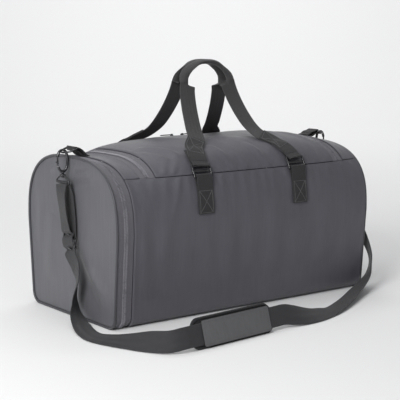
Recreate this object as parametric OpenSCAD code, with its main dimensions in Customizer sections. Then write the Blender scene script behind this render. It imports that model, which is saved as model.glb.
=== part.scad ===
// Soft duffel bag: sewn fabric panels over a base board, a lid closed by a zip on three
// sides, a zipped end compartment, two carrying handles on plastic buckles, and a
// detachable shoulder strap that hangs from D-rings and lies along the floor.
// Frame: +X along the bag towards the plain end, +Y to the rear, +Z up.
// Origin: centre of the base, on the surface that the bag stands on.

/* [Bag] */
// Length of the bag between its end panels
bag_l = 650; // [630:5:670]
// Width at the widest height
bag_w = 344; // [336:1:352]
// Width of the flat base
base_w = 320; // [310:1:326]
// Height where the walls turn into the roof
wall_h = 180; // [170:1:190]
// Radius along the lower edges
base_r = 26; // [20:1:30]
// Height of the sewn seam between each long wall and the roof
seam_h = 288; // [284:1:290]
// Thickness of a fabric panel
panel_t = 1.8; // [1.4:0.1:2.2]
// Thickness of the stiff base board
board_t = 3; // [2:0.5:4]

/* [Zips] */
// Width of the double zip strip beside the left end
end_strip_w = 36; // [32:1:40]
// Width of the zip strips that frame the lid
lid_strip_w = 33; // [30:1:36]
// Centre of the lid's left zip, from the middle of the bag
lid_zip_left = -238; // [-240:1:-236]
// Centre of the lid's right zip, from the middle of the bag
lid_zip_right = 260; // [258:1:262]
// Distance of the lid's rear zip behind the middle of the bag
lid_zip_rear = 90; // [88:1:92]
// Thickness of a zip tape
tape_t = 1.2; // [1:0.1:1.6]

/* [Handles] */
// Width of the handle webbing
handle_w = 38; // [36:1:38]
// Thickness of the handle webbing
handle_t = 2.2; // [2:0.1:2.4]
// Distance of each buckle from the middle of the handle
buckle_x = 123.5; // [120:0.5:126]
// Offset of both handles along the bag
handle_x = 4.5; // [0:0.5:6]
// Height of the lower end of the front and rear tabs
tab_low = 211; // [205:1:220]
// Height of the middle of the grips
grip_h = 502; // [498:1:506]
// Half of the gap between the middles of the two grips
grip_y = 10; // [9.6:0.1:12]

/* [Shoulder strap] */
// Width of the strap webbing
strap_w = 40; // [36:1:42]
// Thickness of the strap webbing
strap_t = 2.2; // [2:0.1:2.4]
// Length of the shoulder pad
pad_l = 200; // [190:1:205]
// Width of the shoulder pad
pad_w = 54; // [50:1:54]
// Thickness of the pad's cushioned base
pad_base_t = 8; // [6:0.5:9]
// Thickness of the pad's cover
pad_cover_t = 2.4; // [2:0.1:3]

/* [Metalwork] */
// Radius of the D-ring wire
ring_wire = 2; // [1.8:0.1:2.1]
// Inner half width of the D-rings
ring_half = 17; // [16:0.5:18]
// Width of the snap hooks
hook_w = 27; // [26:0.5:28]
// Height of the snap hooks' oval
hook_h = 47; // [46:0.5:48]
// Thickness of the snap hooks
hook_t = 4.6; // [4:0.1:5]

/* [Hidden] */
$fn = 40;
half_l = bag_l / 2;
half_w = bag_w / 2;
half_base = base_w / 2;
gap = 0.3;                          // sewing gap between neighbouring panels
pipe_r = 2.6;                       // radius of the piping
pipe_in = pipe_r + 0.1;             // piping centre, inside the panel surface
edge_x = half_l - 1.6;              // where the long panels stop, beside the piping
strip_x = -half_l + end_strip_w;    // inner edge of the end zip strip
end_zip_x = -half_l + end_strip_w / 2;
band_left_x = lid_zip_left - lid_strip_w / 2;
band_right_x = lid_zip_right + lid_strip_w / 2;
tape_half = lid_strip_w / 2;
coil_w = 2.6;                       // width of one row of zip coil
coil_t = 1.5;
zip_gap = 0.5;                      // half of the gap between the tapes

// Height of the roof's ridge at stations along the bag: it sags beside the end seams.
ridge = [[-325, 326], [-290, 319], [-255, 320], [-200, 336], [-100, 344],
         [200, 345], [280, 330], [325, 321]];
end_boxy = 2.8;                     // squareness of the section at the ends
mid_boxy = 3.1;                     // and in the middle
x_stations = [-290, -255, -200, -150, -100, 0, 100, 200, 240, 280];

// ---------- body section: one closed profile at each station along X ----------

function ridge_h(x) = lookup(x, ridge);
function boxy(x) = mid_boxy - (mid_boxy - end_boxy) * pow(min(1, abs(x) / 325), 3);

// Front half of the section: 0..1 base, 1..2 lower edge, 2..3 wall, 3..4 roof.
function half_section(x, s) =
    s <= 1 ? [-(half_base - base_r) * s, 0] :
    s <= 2 ? let (a = (s - 1) * 90)
             [-(half_base - base_r) - base_r * sin(a), base_r - base_r * cos(a)] :
    s <= 3 ? [-(half_base + (half_w - half_base) * (s - 2)), base_r + (wall_h - base_r) * (s - 2)] :
    let (a = min(90, (s - 3) * 90), p = 2 / boxy(x))
             [-half_w * pow(max(0, cos(a)), p), wall_h + (ridge_h(x) - wall_h) * pow(sin(a), p)];

// Whole section: 0..4 up the front, 4..8 down the rear, and round again.
function section(x, s) =
    let (r = s - 8 * floor(s / 8), q = half_section(x, r <= 4 ? r : 8 - r))
    r <= 4 ? q : [-q.x, q.y];
function section_dir(x, s) =
    let (d = section(x, s + 0.01) - section(x, s - 0.01)) d / norm(d);
function section_out(x, s) = let (d = section_dir(x, s)) [-d.y, d.x];
// Point of the body surface, moved outwards by off
function skin(x, s, off = 0) =
    let (q = section(x, s) + off * section_out(x, s)) [x, q.x, q.y];

// Section parameter at a roof height on the front, or at a distance behind the middle
function s_height(x, z) = 3 + asin(pow((z - wall_h) / (ridge_h(x) - wall_h), boxy(x) / 2)) / 90;
function s_rear(x, y) = 5 - acos(pow(y / half_w, boxy(x) / 2)) / 90;
function s_seam(x) = s_height(x, seam_h);

function spread(a, b, n) = [for (i = [0:n]) a + (b - a) * i / n];
function stations(a, b) = concat([a], [for (x = x_stations) if (x > a + 5 && x < b - 5) x], [b]);

// ---------- solids built from rows of points ----------

// Closed solid between an outer and an inner grid of points, [i along X][j round the section]
module grid_solid(outer, inner) {
    ni = len(outer);
    nj = len(outer[0]);
    o = function (i, j) i * nj + j;
    n = function (i, j) ni * nj + i * nj + j;
    quad = function (a, b, c, d) [[a, b, c], [a, c, d]];
    faces = [
        for (i = [0:ni - 2], j = [0:nj - 2]) each concat(
            quad(o(i, j), o(i, j + 1), o(i + 1, j + 1), o(i + 1, j)),
            quad(n(i, j), n(i + 1, j), n(i + 1, j + 1), n(i, j + 1))),
        for (i = [0:ni - 2]) each concat(
            quad(o(i, 0), o(i + 1, 0), n(i + 1, 0), n(i, 0)),
            quad(o(i + 1, nj - 1), o(i, nj - 1), n(i, nj - 1), n(i + 1, nj - 1))),
        for (j = [0:nj - 2]) each concat(
            quad(o(0, j + 1), o(0, j), n(0, j), n(0, j + 1)),
            quad(o(ni - 1, j), o(ni - 1, j + 1), n(ni - 1, j + 1), n(ni - 1, j)))
    ];
    flat = function (g) [for (row = g) each row];
    polyhedron(concat(flat(outer), flat(inner)), faces);
}

// Piece of the body skin over the stations xs; s_list(x) gives its places round the section
module skin_patch(xs, s_list, t, off = 0) {
    grid_solid([for (x = xs) [for (s = s_list(x)) skin(x, s, off)]],
               [for (x = xs) [for (s = s_list(x)) skin(x, s, off - t)]]);
}

function unit(v) = v / norm(v);
function tangent(p, i) = unit(p[min(len(p) - 1, i + 1)] - p[max(0, i - 1)]);

// Ribbon along the points p: w holds the width direction at each point, size the
// half width and half thickness there
module ribbon(p, w, size) {
    n = len(p);
    ring = [for (i = [0:n - 1])
        let (t = tangent(p, i), u = unit(w[i] - (w[i] * t) * t), v = cross(t, u),
             a = size[i].x, b = size[i].y, c = min(0.4 * a, 1.2))
        for (q = [[a, b / 2], [a - c, b], [c - a, b], [-a, b / 2],
                  [-a, -b / 2], [c - a, -b], [a - c, -b], [a, -b / 2]])
            p[i] + q.x * u + q.y * v];
    faces = [
        for (i = [0:n - 2], k = [0:7])
            let (a = i * 8 + k, b = i * 8 + (k + 1) % 8)
            each [[a, a + 8, b + 8], [a, b + 8, b]],
        [for (k = [0:7]) k],
        [for (k = [7:-1:0]) (n - 1) * 8 + k]
    ];
    polyhedron(ring, faces);
}
module flat_ribbon(p, w, width, t) {
    ribbon(p, [for (q = p) w], [for (q = p) [width / 2, t / 2]]);
}

// Tube along the closed loop of points p, whose plane faces +X
module loop_tube(p, r) {
    n = len(p);
    ring = [for (i = [0:n - 1])
        let (t = unit(p[(i + 1) % n] - p[(i + n - 1) % n]), v = cross(t, [1, 0, 0]))
        for (a = [0:60:300]) p[i] + r * cos(a) * [1, 0, 0] - r * sin(a) * v];
    faces = [for (i = [0:n - 1], k = [0:5])
        let (a = i * 6 + k, b = i * 6 + (k + 1) % 6,
             c = ((i + 1) % n) * 6 + (k + 1) % 6, d = ((i + 1) % n) * 6 + k)
        each [[a, d, c], [a, c, b]]];
    polyhedron(ring, faces);
}

// Smooth curve through the points q, with m steps in each stretch
function blend4(a, b, c, d, t) =
    0.5 * (2 * b + (c - a) * t + (2 * a - 5 * b + 4 * c - d) * t * t
           + (3 * b - a - 3 * c + d) * t * t * t);
function smooth_curve(q, m) = concat(
    [for (i = [0:len(q) - 2], k = [0:m - 1])
        blend4(q[max(0, i - 1)], q[i], q[i + 1], q[min(len(q) - 1, i + 2)], k / m)],
    [q[len(q) - 1]]);

// ---------- bag body ----------

fabric = [0.33, 0.33, 0.36];
dark_fabric = [0.22, 0.22, 0.24];
webbing = [0.13, 0.13, 0.14];
hardware = [0.08, 0.08, 0.09];

wall_steps = [1.02, 1.25, 1.5, 1.75, 2, 2.5, 3];
function wall_to_seam(x, last) = concat(wall_steps, [for (i = [1:5]) 3 + (last - 3) * i / 5]);
function rear_of(list) = [for (i = [len(list) - 1:-1:0]) 8 - list[i]];

module bottom_panel() {
    color(dark_fabric)
        skin_patch([-edge_x, 0, edge_x], function (x) [7, 7.5, 8.5, 9], panel_t);
}
module base_board() {
    inset = 6;
    board_l = edge_x - strip_x - 2 * inset;
    board_w = 2 * (half_base - base_r) - 4;
    color([0.15, 0.15, 0.15])
        translate([(edge_x + strip_x) / 2, 0, panel_t + gap])
        linear_extrude(board_t)
        rounded_rect(board_l, board_w, 14);
}
module rounded_rect(l, w, r) {
    square([l - 2 * r, w], center = true);
    square([l, w - 2 * r], center = true);
    for (x = [-1, 1], y = [-1, 1])
        translate([x * (l / 2 - r), y * (w / 2 - r)]) circle(r);
}
module front_panel() {
    color(fabric)
        skin_patch(stations(strip_x + gap, edge_x),
                   function (x) wall_to_seam(x, s_seam(x) - 0.004), panel_t);
}
module rear_panel() {
    color(fabric)
        skin_patch(stations(strip_x + gap, edge_x),
                   function (x) rear_of(wall_to_seam(x, s_seam(x) - 0.004)), panel_t);
}

loop_steps = concat(wall_steps, spread(3.15, 4.85, 16), rear_of(wall_steps));
// Flat panel across the section at x, set in from the surface by inset
module cross_panel(x, x_section, inset, t) {
    translate([x, 0, 0]) rotate([90, 0, 90]) linear_extrude(t)
        polygon([for (s = loop_steps) section(x_section, s) - inset * section_out(x_section, s)]);
}
module left_end_panel() {
    color(fabric) cross_panel(-half_l, -half_l, pipe_in + pipe_r + gap, panel_t);
}
module right_end_panel() {
    color(fabric) cross_panel(half_l - panel_t, half_l, pipe_in + pipe_r + gap, panel_t);
}
module divider_panel() {
    color(dark_fabric) cross_panel(strip_x + gap, strip_x, panel_t + 2, panel_t / 2);
}
module piping(x) {
    color(webbing)
        loop_tube([for (s = concat(loop_steps, [7.4, 8.6]))
            let (q = section(x, s) - pipe_in * section_out(x, s)) [x, q.x, q.y]], pipe_r);
}
module left_piping() piping(-half_l - 1);
module right_piping() piping(half_l + 1);

function roof(x, n) = spread(s_seam(x) + 0.004, 8 - s_seam(x) - 0.004, n);
module top_band_left() {
    color(fabric)
        skin_patch([strip_x + gap, band_left_x - gap], function (x) roof(x, 16), panel_t);
}
module top_band_right() {
    color(fabric)
        skin_patch([band_right_x + gap, edge_x], function (x) roof(x, 16), panel_t);
}
module top_strip_rear() {
    color(fabric)
        skin_patch(stations(band_left_x, band_right_x),
                   function (x) spread(s_rear(x, lid_zip_rear + tape_half) + 0.002,
                                       8 - s_seam(x) - 0.004, 3), panel_t);
}

// ---------- zips ----------

function strip_loop(x) = concat([1.02, 1.3, 1.6, 2, 3], spread(3.15, 4.85, 14), [5, 6, 6.4, 6.7, 6.98]);
module end_zip_tape_outer() {
    color(dark_fabric)
        skin_patch([-edge_x, end_zip_x - zip_gap], function (x) strip_loop(x), tape_t);
}
module end_zip_tape_inner() {
    color(dark_fabric)
        skin_patch([end_zip_x + zip_gap, strip_x], function (x) strip_loop(x), tape_t);
}
module end_zip_coil() {
    color(webbing)
        skin_patch([end_zip_x - coil_w, end_zip_x + coil_w], function (x) strip_loop(x),
                   coil_t, coil_off);
}

// Band that frames the lid on three sides, between the distances d0 and d1 outside the zip
// line (negative on the lid's side); start is the slack left at the seam
module zip_frame(d0, d1, start, t, off) {
    for (e = [[lid_zip_left - d1, lid_zip_left - d0], [lid_zip_right + d0, lid_zip_right + d1]])
        skin_patch(e, function (x) spread(s_seam(x) + start, s_rear(x, lid_zip_rear + d0) - 0.003,
                                          12), t, off);
    skin_patch(stations(lid_zip_left - d1, lid_zip_right + d1),
               function (x) spread(s_rear(x, lid_zip_rear + d0), s_rear(x, lid_zip_rear + d1), 2),
               t, off);
}
body_start = 0.004;
lid_start = 0.014;                  // slack cloth at the lid's hinge
coil_off = -tape_t - 0.5;

module body_zip_tape() {
    color(dark_fabric) zip_frame(zip_gap, tape_half - gap, body_start, tape_t, 0);
}
module body_zip_coil() {
    color(webbing) zip_frame(zip_gap, coil_w, body_start, coil_t, coil_off);
}
module lid_zip_tape() {
    color(dark_fabric) zip_frame(gap - tape_half, -zip_gap, lid_start, tape_t, 0);
}
module lid_zip_coil() {
    color(webbing) zip_frame(-coil_w, -zip_gap, lid_start, coil_t, coil_off);
}
module lid_panel() {
    color(fabric)
        skin_patch(stations(lid_zip_left + tape_half, lid_zip_right - tape_half),
            function (x) spread(s_seam(x) + lid_start, s_rear(x, lid_zip_rear - tape_half) - 0.003, 14),
            panel_t);
}

// Zip slider: body on the tape, posts and a pin for the pull. Local X along the zip,
// local Z out of the tape.
slider_l = 13;
slider_w = 9;
slider_h = 2.2;
pin_h = 4.5;
pin_r = 0.9;
pull_l = 30;
pull_w = 7;
slider_lift = 0.6;
module zip_slider() {
    color(hardware) translate([0, 0, slider_lift]) {
        linear_extrude(slider_h) {
            translate([-slider_l / 2 + slider_w / 2, 0]) circle(slider_w / 2);
            translate([1, 0]) square([slider_l - 4, slider_w - 2], center = true);
        }
        for (y = [-1, 1]) translate([-1.5, y * 3.3 - 0.6, 0]) cube([3, 1.2, pin_h + 1.2]);
        translate([0, 0, pin_h]) rotate([90, 0, 0]) cylinder(r = pin_r, h = 6, center = true);
    }
}
module zip_pull() {
    color(hardware) translate([0, 0, slider_lift + pin_h]) rotate([90, 0, 0])
        difference() {
            union() {
                cylinder(r = 2, h = 4.6, center = true);
                translate([0, -0.8, -2.3]) cube([10, 1.6, 4.6]);
                translate([8, 0.8, 0]) rotate([90, 0, 0]) linear_extrude(1.6)
                    rounded_pull();
            }
            cylinder(r = pin_r + 0.08, h = 10, center = true);
        }
}
module rounded_pull() {
    translate([0, -pull_w / 2]) square([pull_l - 8 - pull_w / 2, pull_w]);
    translate([pull_l - 8 - pull_w / 2, 0]) circle(pull_w / 2);
}

// Places the zip parts: lid zips at the rear edge, the end zip low on the rear wall
lid_slider_x = 14;
module at_lid_zip(side) {
    s = s_rear(0, lid_zip_rear);
    q = skin(0, s, 0);
    d = section_dir(0, s);
    translate([side * lid_slider_x, q.y, q.z]) rotate([atan2(d.y, d.x), 0, 0])
        rotate([0, 0, side > 0 ? 0 : 180]) children();
}
end_slider_h = 62;
wall_tilt = atan2(half_w - half_base, wall_h - base_r);
module at_end_zip() {
    s = 8 - (2 + (end_slider_h - base_r) / (wall_h - base_r));
    q = skin(end_zip_x, s, 0);
    translate([end_zip_x, q.y, q.z]) rotate([-wall_tilt, 0, 0])
        rotate([0, 0, 90]) rotate([0, 90, 0]) children();
}
module lid_zip_slider_left() at_lid_zip(-1) zip_slider();
module lid_zip_slider_right() at_lid_zip(1) zip_slider();
module lid_zip_pull_left() at_lid_zip(-1) zip_pull();
module lid_zip_pull_right() at_lid_zip(1) zip_pull();
module end_zip_slider() at_end_zip() zip_slider();
module end_zip_pull() at_end_zip() zip_pull();

// ---------- handles ----------

bar_r = 1.9;
wrap_r = bar_r + 0.35 + handle_t / 2;       // middle of the webbing that turns round a bar
bar_pitch = 11;                             // distance between a buckle's bars
bar_lift = wrap_r + handle_t / 2 + 1.2;     // bar centre above the fabric
s_bar = s_height(0, seam_h - 5);
pivot = skin(0, s_bar, bar_lift);           // middle of the lower bar, on the front
s_top = s_height(0, seam_h + 11.5);            // where the upper bar sits on the roof
buckle_dir = unit(skin(0, s_top, bar_lift + 0.9) - pivot);
buckle_out = cross([1, 0, 0], buckle_dir);
top_bar = pivot + 2 * bar_pitch * buckle_dir;
buckle_angle = atan2(buckle_dir.z, buckle_dir.y);

// Shapes on the front are mirrored to the rear
module on_side(side) mirror([0, side == "rear" ? 1 : 0, 0]) children();
function end_sign(end) = end == "left" ? -1 : 1;

module buckle(side, end) {
    arm_w = 3.2;
    arm_t = 4.2;
    inner = handle_w / 2 + 0.8;
    color(hardware) on_side(side)
        translate([handle_x + end_sign(end) * buckle_x, pivot.y, pivot.z])
        rotate([buckle_angle, 0, 0]) {
            for (x = [-1, 1]) translate([x * (inner + arm_w / 2), 0, -arm_t / 2])
                linear_extrude(arm_t) {
                    translate([-arm_w / 2, 0]) square([arm_w, 2 * bar_pitch]);
                    for (y = [0, 2 * bar_pitch]) translate([-arm_w / 2, y - 2.2])
                        square([arm_w, 4.4]);
                }
            for (y = [0, bar_pitch, 2 * bar_pitch]) translate([0, y, 0]) rotate([0, 90, 0])
                cylinder(r = bar_r, h = 2 * inner + 1, center = true);
        }
}

// Points of a half turn round a bar at c, from direction a0 over +-180 degrees in the YZ plane
function half_turn(c, r, a0, dir, n = 6) =
    [for (i = [0:n]) let (a = a0 + dir * 180 * i / n) c + r * [0, cos(a), sin(a)]];

tab_s = [for (z = [tab_low, tab_low + 22, tab_low + 44, seam_h - 16]) s_height(0, z)];
out_angle = atan2(buckle_out.z, buckle_out.y);
module webbing_tab(side, end) {
    inner_off = handle_t / 2 + 0.2;
    outer_off = inner_off + handle_t + 0.15;
    path = concat(
        [for (i = [0:3]) skin(0, tab_s[i], i == 3 ? outer_off + 3 : outer_off)],
        half_turn(pivot, wrap_r, out_angle, -1),
        [for (i = [3:-1:1]) skin(0, tab_s[i], inner_off)]);
    color(webbing) on_side(side) translate([handle_x + end_sign(end) * buckle_x, 0, 0])
        flat_ribbon(path, [1, 0, 0], handle_w, handle_t);
}

// One leg of the front handle, from the sewn end under the buckle's top bar to the grip:
// x is measured from the middle of the handle and is negative on the left leg
lap_low = handle_t / 2 + 1.2;
lap_high = lap_low + handle_t + 0.2;
function roof_at(y, off) = let (q = skin(0, s_front(y), off)) [q.y, q.z];
function s_front(y) = 3 + acos(pow(-y / half_w, boxy(0) / 2)) / 90;
function leg(sign) = concat(
    [for (y = [-118, -130]) let (q = roof_at(y, lap_low)) [sign * (buckle_x - (y + 142) * 0.28), q.x, q.y]],
    [for (q = half_turn(top_bar, wrap_r, out_angle + 180, 1)) [sign * buckle_x, q.y, q.z]],
    [for (y = [-132, -118, -104])
        let (q = roof_at(y, lap_high)) [sign * (buckle_x - (y + 142) * 0.35), q.x, q.y]],
    [for (q = [[92, -88, 352], [81, -68, 368], [72, -48, 392], [65, -30, 418], [59, -18, 440]])
        [sign * q.x, q.y, q.z]]);
grip_half = [[51, -grip_y - 4, 461], [42, -grip_y - 3, 478], [29, -grip_y - 0.5, 491],
             [14, -grip_y, grip_h - 3]];
function reversed(list) = [for (i = [len(list) - 1:-1:0]) list[i]];
function handle_half(sign) =
    concat(leg(sign), [for (q = grip_half) [sign * q.x, q.y, q.z]]);
handle_path = concat(handle_half(-1), [[0, -grip_y, grip_h]], reversed(handle_half(1)));
leg_n = len(leg(1));
// The webbing is flat along the legs and folded double along the grip, where it also turns
// so that its width lies across the bag
grip_half_w = 8.6;                          // half sizes of the folded grip
grip_half_t = 4.8;
fold = [0.25, 0.75, 1, 1];
function fold_at(i) =
    let (k = min(i, len(handle_path) - 1 - i)) k < leg_n ? 0 : fold[min(3, k - leg_n)];
module handle(side) {
    width_dir = [for (i = [0:len(handle_path) - 1])
        let (f = 90 * fold_at(i)) [cos(f), -sin(f), 0]];
    half = [for (i = [0:len(handle_path) - 1]) let (f = fold_at(i))
        [(1 - f) * handle_w / 2 + f * grip_half_w, (1 - f) * handle_t / 2 + f * grip_half_t]];
    color(webbing) on_side(side) translate([handle_x, 0, 0])
        ribbon(handle_path, width_dir, half);
}

module front_tab_left() webbing_tab("front", "left");
module front_tab_right() webbing_tab("front", "right");
module rear_tab_left() webbing_tab("rear", "left");
module rear_tab_right() webbing_tab("rear", "right");
module front_handle() handle("front");
module rear_handle() handle("rear");

// ---------- D-rings, snap hooks and strap eyes ----------

// Everything here is drawn at the left end and mirrored to the right
module at_end(end) mirror([end == "left" ? 0 : 1, 0, 0]) children();

ring_bar = [-321, 0, 339];                  // straight bar of the D-ring
ring_drop = 17;                             // slope of the ring, in degrees
ring_arm = 4;                               // straight arms between the bar and the bow
bow_r = ring_half + ring_wire;
hook_x = -343;
eye_z = 276;                                // lower end of the hook's swivel head
eye_bar_r = 1.8;                            // bar that holds the strap
module d_ring(end) {
    color(hardware) at_end(end) translate(ring_bar) rotate([0, -ring_drop, 0])
        rotate([0, 0, 90]) {
            translate([-bow_r, 0, 0]) rotate([0, 90, 0]) cylinder(r = ring_wire, h = 2 * bow_r);
            for (x = [-bow_r, bow_r]) {
                translate([x, 0, 0]) sphere(ring_wire);
                translate([x, 0, 0]) rotate([-90, 0, 0]) cylinder(r = ring_wire, h = ring_arm);
            }
            translate([0, ring_arm, 0]) rotate_extrude(angle = 180)
                translate([bow_r, 0]) circle(ring_wire);
        }
}
module ring_tab(end) {
    tab_w = 2 * ring_half - 3;
    r = ring_wire + 0.5 + handle_t / 2;
    roof_z = function (x) ridge_h(-end_sign(end) * x);
    path = concat(
        [[-282, 0, roof_z(-282) + 4.2], [-294, 0, roof_z(-294) + 9], [-308, 0, ring_bar.z + 1.2]],
        [for (i = [0:6]) let (a = 105 + 180 * i / 6) ring_bar + r * [cos(a), 0, sin(a)]],
        [[-308, 0, roof_z(-308) + 8], [-296, 0, roof_z(-296) + 3.6], [-284, 0, roof_z(-284) + 1.5]]);
    color(webbing) at_end(end) flat_ribbon(path, [0, 1, 0], tab_w, handle_t);
}

hook_mid = 316;                             // middle of the oval
gate_low = -7;                              // ends of the gate, from the middle of the oval
gate_high = 10;
gate_w = 4;
module stadium(w, h) {
    square([w, h - w], center = true);
    for (y = [-1, 1]) translate([0, y * (h - w) / 2]) circle(w / 2);
}
module snap_hook(end) {
    wall = 4.4;
    color(hardware) at_end(end) {
        translate([hook_x, hook_t / 2, hook_mid]) rotate([90, 0, 0])
            difference() {
                linear_extrude(hook_t) difference() {
                    stadium(hook_w, hook_h);
                    stadium(hook_w - 2 * wall, hook_h - 2 * wall);
                    translate([-hook_w / 2 - 1, gate_low - 2.8])
                        square([wall + 1.6, gate_high - gate_low + 3.2]);
                }
            }
        // fork that carries the gate's pin
        for (y = [-1, 1]) translate([hook_x - hook_w / 2 + wall / 2, 0, hook_mid + gate_low - 4.6])
            translate([-wall / 2, y > 0 ? 1.55 : -1.55 - 0.75, 0]) difference() {
                cube([wall, 0.75, 7]);
                translate([wall / 2, -1, 4.6]) rotate([-90, 0, 0]) cylinder(r = 0.85, h = 4);
            }
        // swivel post and its head
        translate([hook_x, 0, hook_mid - hook_h / 2 - 9]) cylinder(r = 2.4, h = 9.6);
        translate([hook_x, 0, hook_mid - hook_h / 2 - 10.4]) cylinder(r = 3.6, h = 1.6);
    }
}
module gate_pin(end) {
    color([0.5, 0.5, 0.52]) at_end(end)
        translate([hook_x - hook_w / 2 + 2.2, 0, hook_mid + gate_low]) rotate([90, 0, 0])
        cylinder(r = 0.8, h = hook_t, center = true);
}
module hook_gate(end) {
    color(hardware) at_end(end)
        translate([hook_x - hook_w / 2 + 2.2, 0, hook_mid + gate_low]) rotate([90, 0, 0])
        difference() {
            union() {
                cylinder(r = 1.9, h = 2.8, center = true);
                linear_extrude(2.8, center = true)
                    translate([-1.7, 0]) square([3.4, gate_high - gate_low]);
                // thumb stud
                translate([-3.4, 5, 0]) rotate([0, 90, 0]) cylinder(r = 1.3, h = 3);
            }
            cylinder(r = 0.86, h = 6, center = true);
        }
}
module strap_eye(end) {
    half_bar = strap_w / 2 + 1;
    arm_w = 3.4;
    collar_z = hook_mid - hook_h / 2 - 7.4;
    bar_z = eye_z - 4;
    color(hardware) at_end(end) {
        difference() {
            union() {
                translate([hook_x, 0, collar_z]) cylinder(r = 5, h = 4.4);
                translate([hook_x - eye_bar_r, 0, 0]) rotate([90, 0, 90])
                    linear_extrude(2 * eye_bar_r) difference() {
                        translate([0, (bar_z + collar_z + 3.6) / 2])
                            rounded_rect(2 * (half_bar + arm_w), collar_z + 3.6 - bar_z + 4, 3);
                        translate([-half_bar, bar_z - 3]) square([2 * half_bar, collar_z - bar_z + 2.4]);
                    }
            }
            translate([hook_x, 0, collar_z - 1]) cylinder(r = 2.46, h = 8);
            translate([hook_x - 4, -4, collar_z - 3]) cube([8, 8, 2.6]);
        }
        translate([hook_x, 0, bar_z]) rotate([90, 0, 0])
            cylinder(r = eye_bar_r, h = 2 * half_bar + 2, center = true);
    }
}

// ---------- shoulder strap ----------

// Route of the strap's middle line, from the left eye to the right eye, and the direction
// of its width at each point
pad_dir = unit([1, 0.1, 0]);
pad_mid = [-178, -343, 27.5];
pad_up = unit([-0.03, 0.26, 0.965]);
function along_pad(d) = [pad_mid + d * pad_dir, pad_up];
route = [
    [[-346.4, 0, 270], [0, 1, 0]],
    [[-349, -2, 250], [0, 1, 0]],
    [[-348, -7, 215], [0, 1, 0]],
    [[-346.5, -13, 182], [0, 1, -0.1]],
    [[-345.5, -18, 157], [0, 1, -0.2]],
    [[-345, -28, 134], [0, 1, -0.3]],
    [[-343, -41, 114], [0.1, 1, -0.2]],
    [[-344, -50, 90], [0.35, 0.93, 0]],
    [[-345, -46, 66], [0.6, 0.79, 0]],
    [[-347, -40, 44], [0.7, 0.7, 0]],
    [[-350, -43, 24], [0.85, 0.5, 0.1]],
    [[-357, -60, 9], [0.97, 0.2, 0.1]],
    [[-368, -90, 3.5], [1, 0, 0]],
    [[-379, -122, 2.6], [1, -0.1, 0]],
    [[-386, -155, 3.6], [1, 0, 0.05]],
    [[-385, -190, 5.4], [0.98, 0.1, 0.15]],
    [[-376, -228, 8.4], [0.93, 0.2, 0.3]],
    [[-363, -268, 13.2], [0.8, 0.25, 0.55]],
    [[-350, -310, 18.8], [0.43, 0.3, 0.85]],
    [[-332, -345, 23], [0.1, 0.2, 0.97]],
    along_pad(-128),
    along_pad(-100),
    along_pad(0),
    along_pad(100),
    along_pad(128),
    [[-22, -329, 22], [0.02, 0.45, 0.88]],
    [[12, -326, 15.4], [0.05, 0.72, 0.68]],
    [[46, -319, 10.8], [-0.08, 0.88, 0.45]],
    [[82, -307, 7.6], [-0.19, 0.94, 0.27]],
    [[122, -290, 5], [-0.35, 0.93, 0.12]],
    [[170, -265, 3], [-0.45, 0.89, 0.04]],
    [[218, -237, 4], [-0.4, 0.9, 0.08]],
    [[262, -211, 9], [-0.1, 0.97, 0.2]],
    [[301, -191, 20], [0.35, 0.9, 0.2]],
    [[330, -178, 40], [0.6, 0.8, 0.1]],
    [[346, -168, 66], [0.6, 0.79, 0]],
    [[352, -150, 94], [0.45, 0.85, -0.2]],
    [[355, -122, 122], [0.2, 0.9, -0.3]],
    [[354, -88, 152], [0, 0.9, -0.4]],
    [[351, -52, 190], [0, 1, -0.3]],
    [[349.5, -21, 224], [0, 1, -0.2]],
    [[347.4, -3, 248], [0, 1, 0]],
    [[346.4, 0, 270], [0, 1, 0]]
];
module strap_webbing() {
    p = smooth_curve([for (q = route) q[0]], 2);
    w = smooth_curve([for (q = route) q[1]], 2);
    color(webbing) ribbon(p, w, [for (q = p) [strap_w / 2, strap_t / 2]]);
}
eye_wrap = eye_bar_r + 0.3 + strap_t / 2;
function eye_turn(a1) = [for (i = [0:6]) let (a = 165 + (a1 - 165) * i / 6)
    [hook_x, 0, eye_z - 4] + eye_wrap * [cos(a), 0, sin(a)]];
// Rear layer of the doubled strap, from round the left eye down to the adjuster
module strap_return_left() {
    path = concat(eye_turn(16), [[-336.4, -0.5, 262], [-334, -3, 250], [-333, -8, 215], [-335, -13, 184],
                                [-337.6, -16.5, 160]]);
    color(webbing) flat_ribbon(path, [0, 1, 0], strap_w, strap_t);
}
// Sewn end of the strap, turned round the right eye
module strap_end_right() {
    path = concat(eye_turn(0), [[-339.8, 0, 258], [-343.4, -8, 240], [-345, -16, 226]]);
    color(webbing) at_end("right") flat_ribbon(path, [0, 1, 0], strap_w, strap_t);
}
module strap_adjuster() {
    frame_w = strap_w + 7;
    frame_h = 29;
    bar_h = 3;
    t = 3;
    color(hardware) translate([-341.2, -18, 157]) rotate([15, 0, 0]) rotate([90, 0, 90])
        linear_extrude(t, center = true) {
            difference() {
                rounded_rect(frame_w, frame_h, 3);
                square([strap_w + 1, frame_h - 2 * bar_h], center = true);
            }
            square([strap_w + 2, bar_h], center = true);
        }
}

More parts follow.
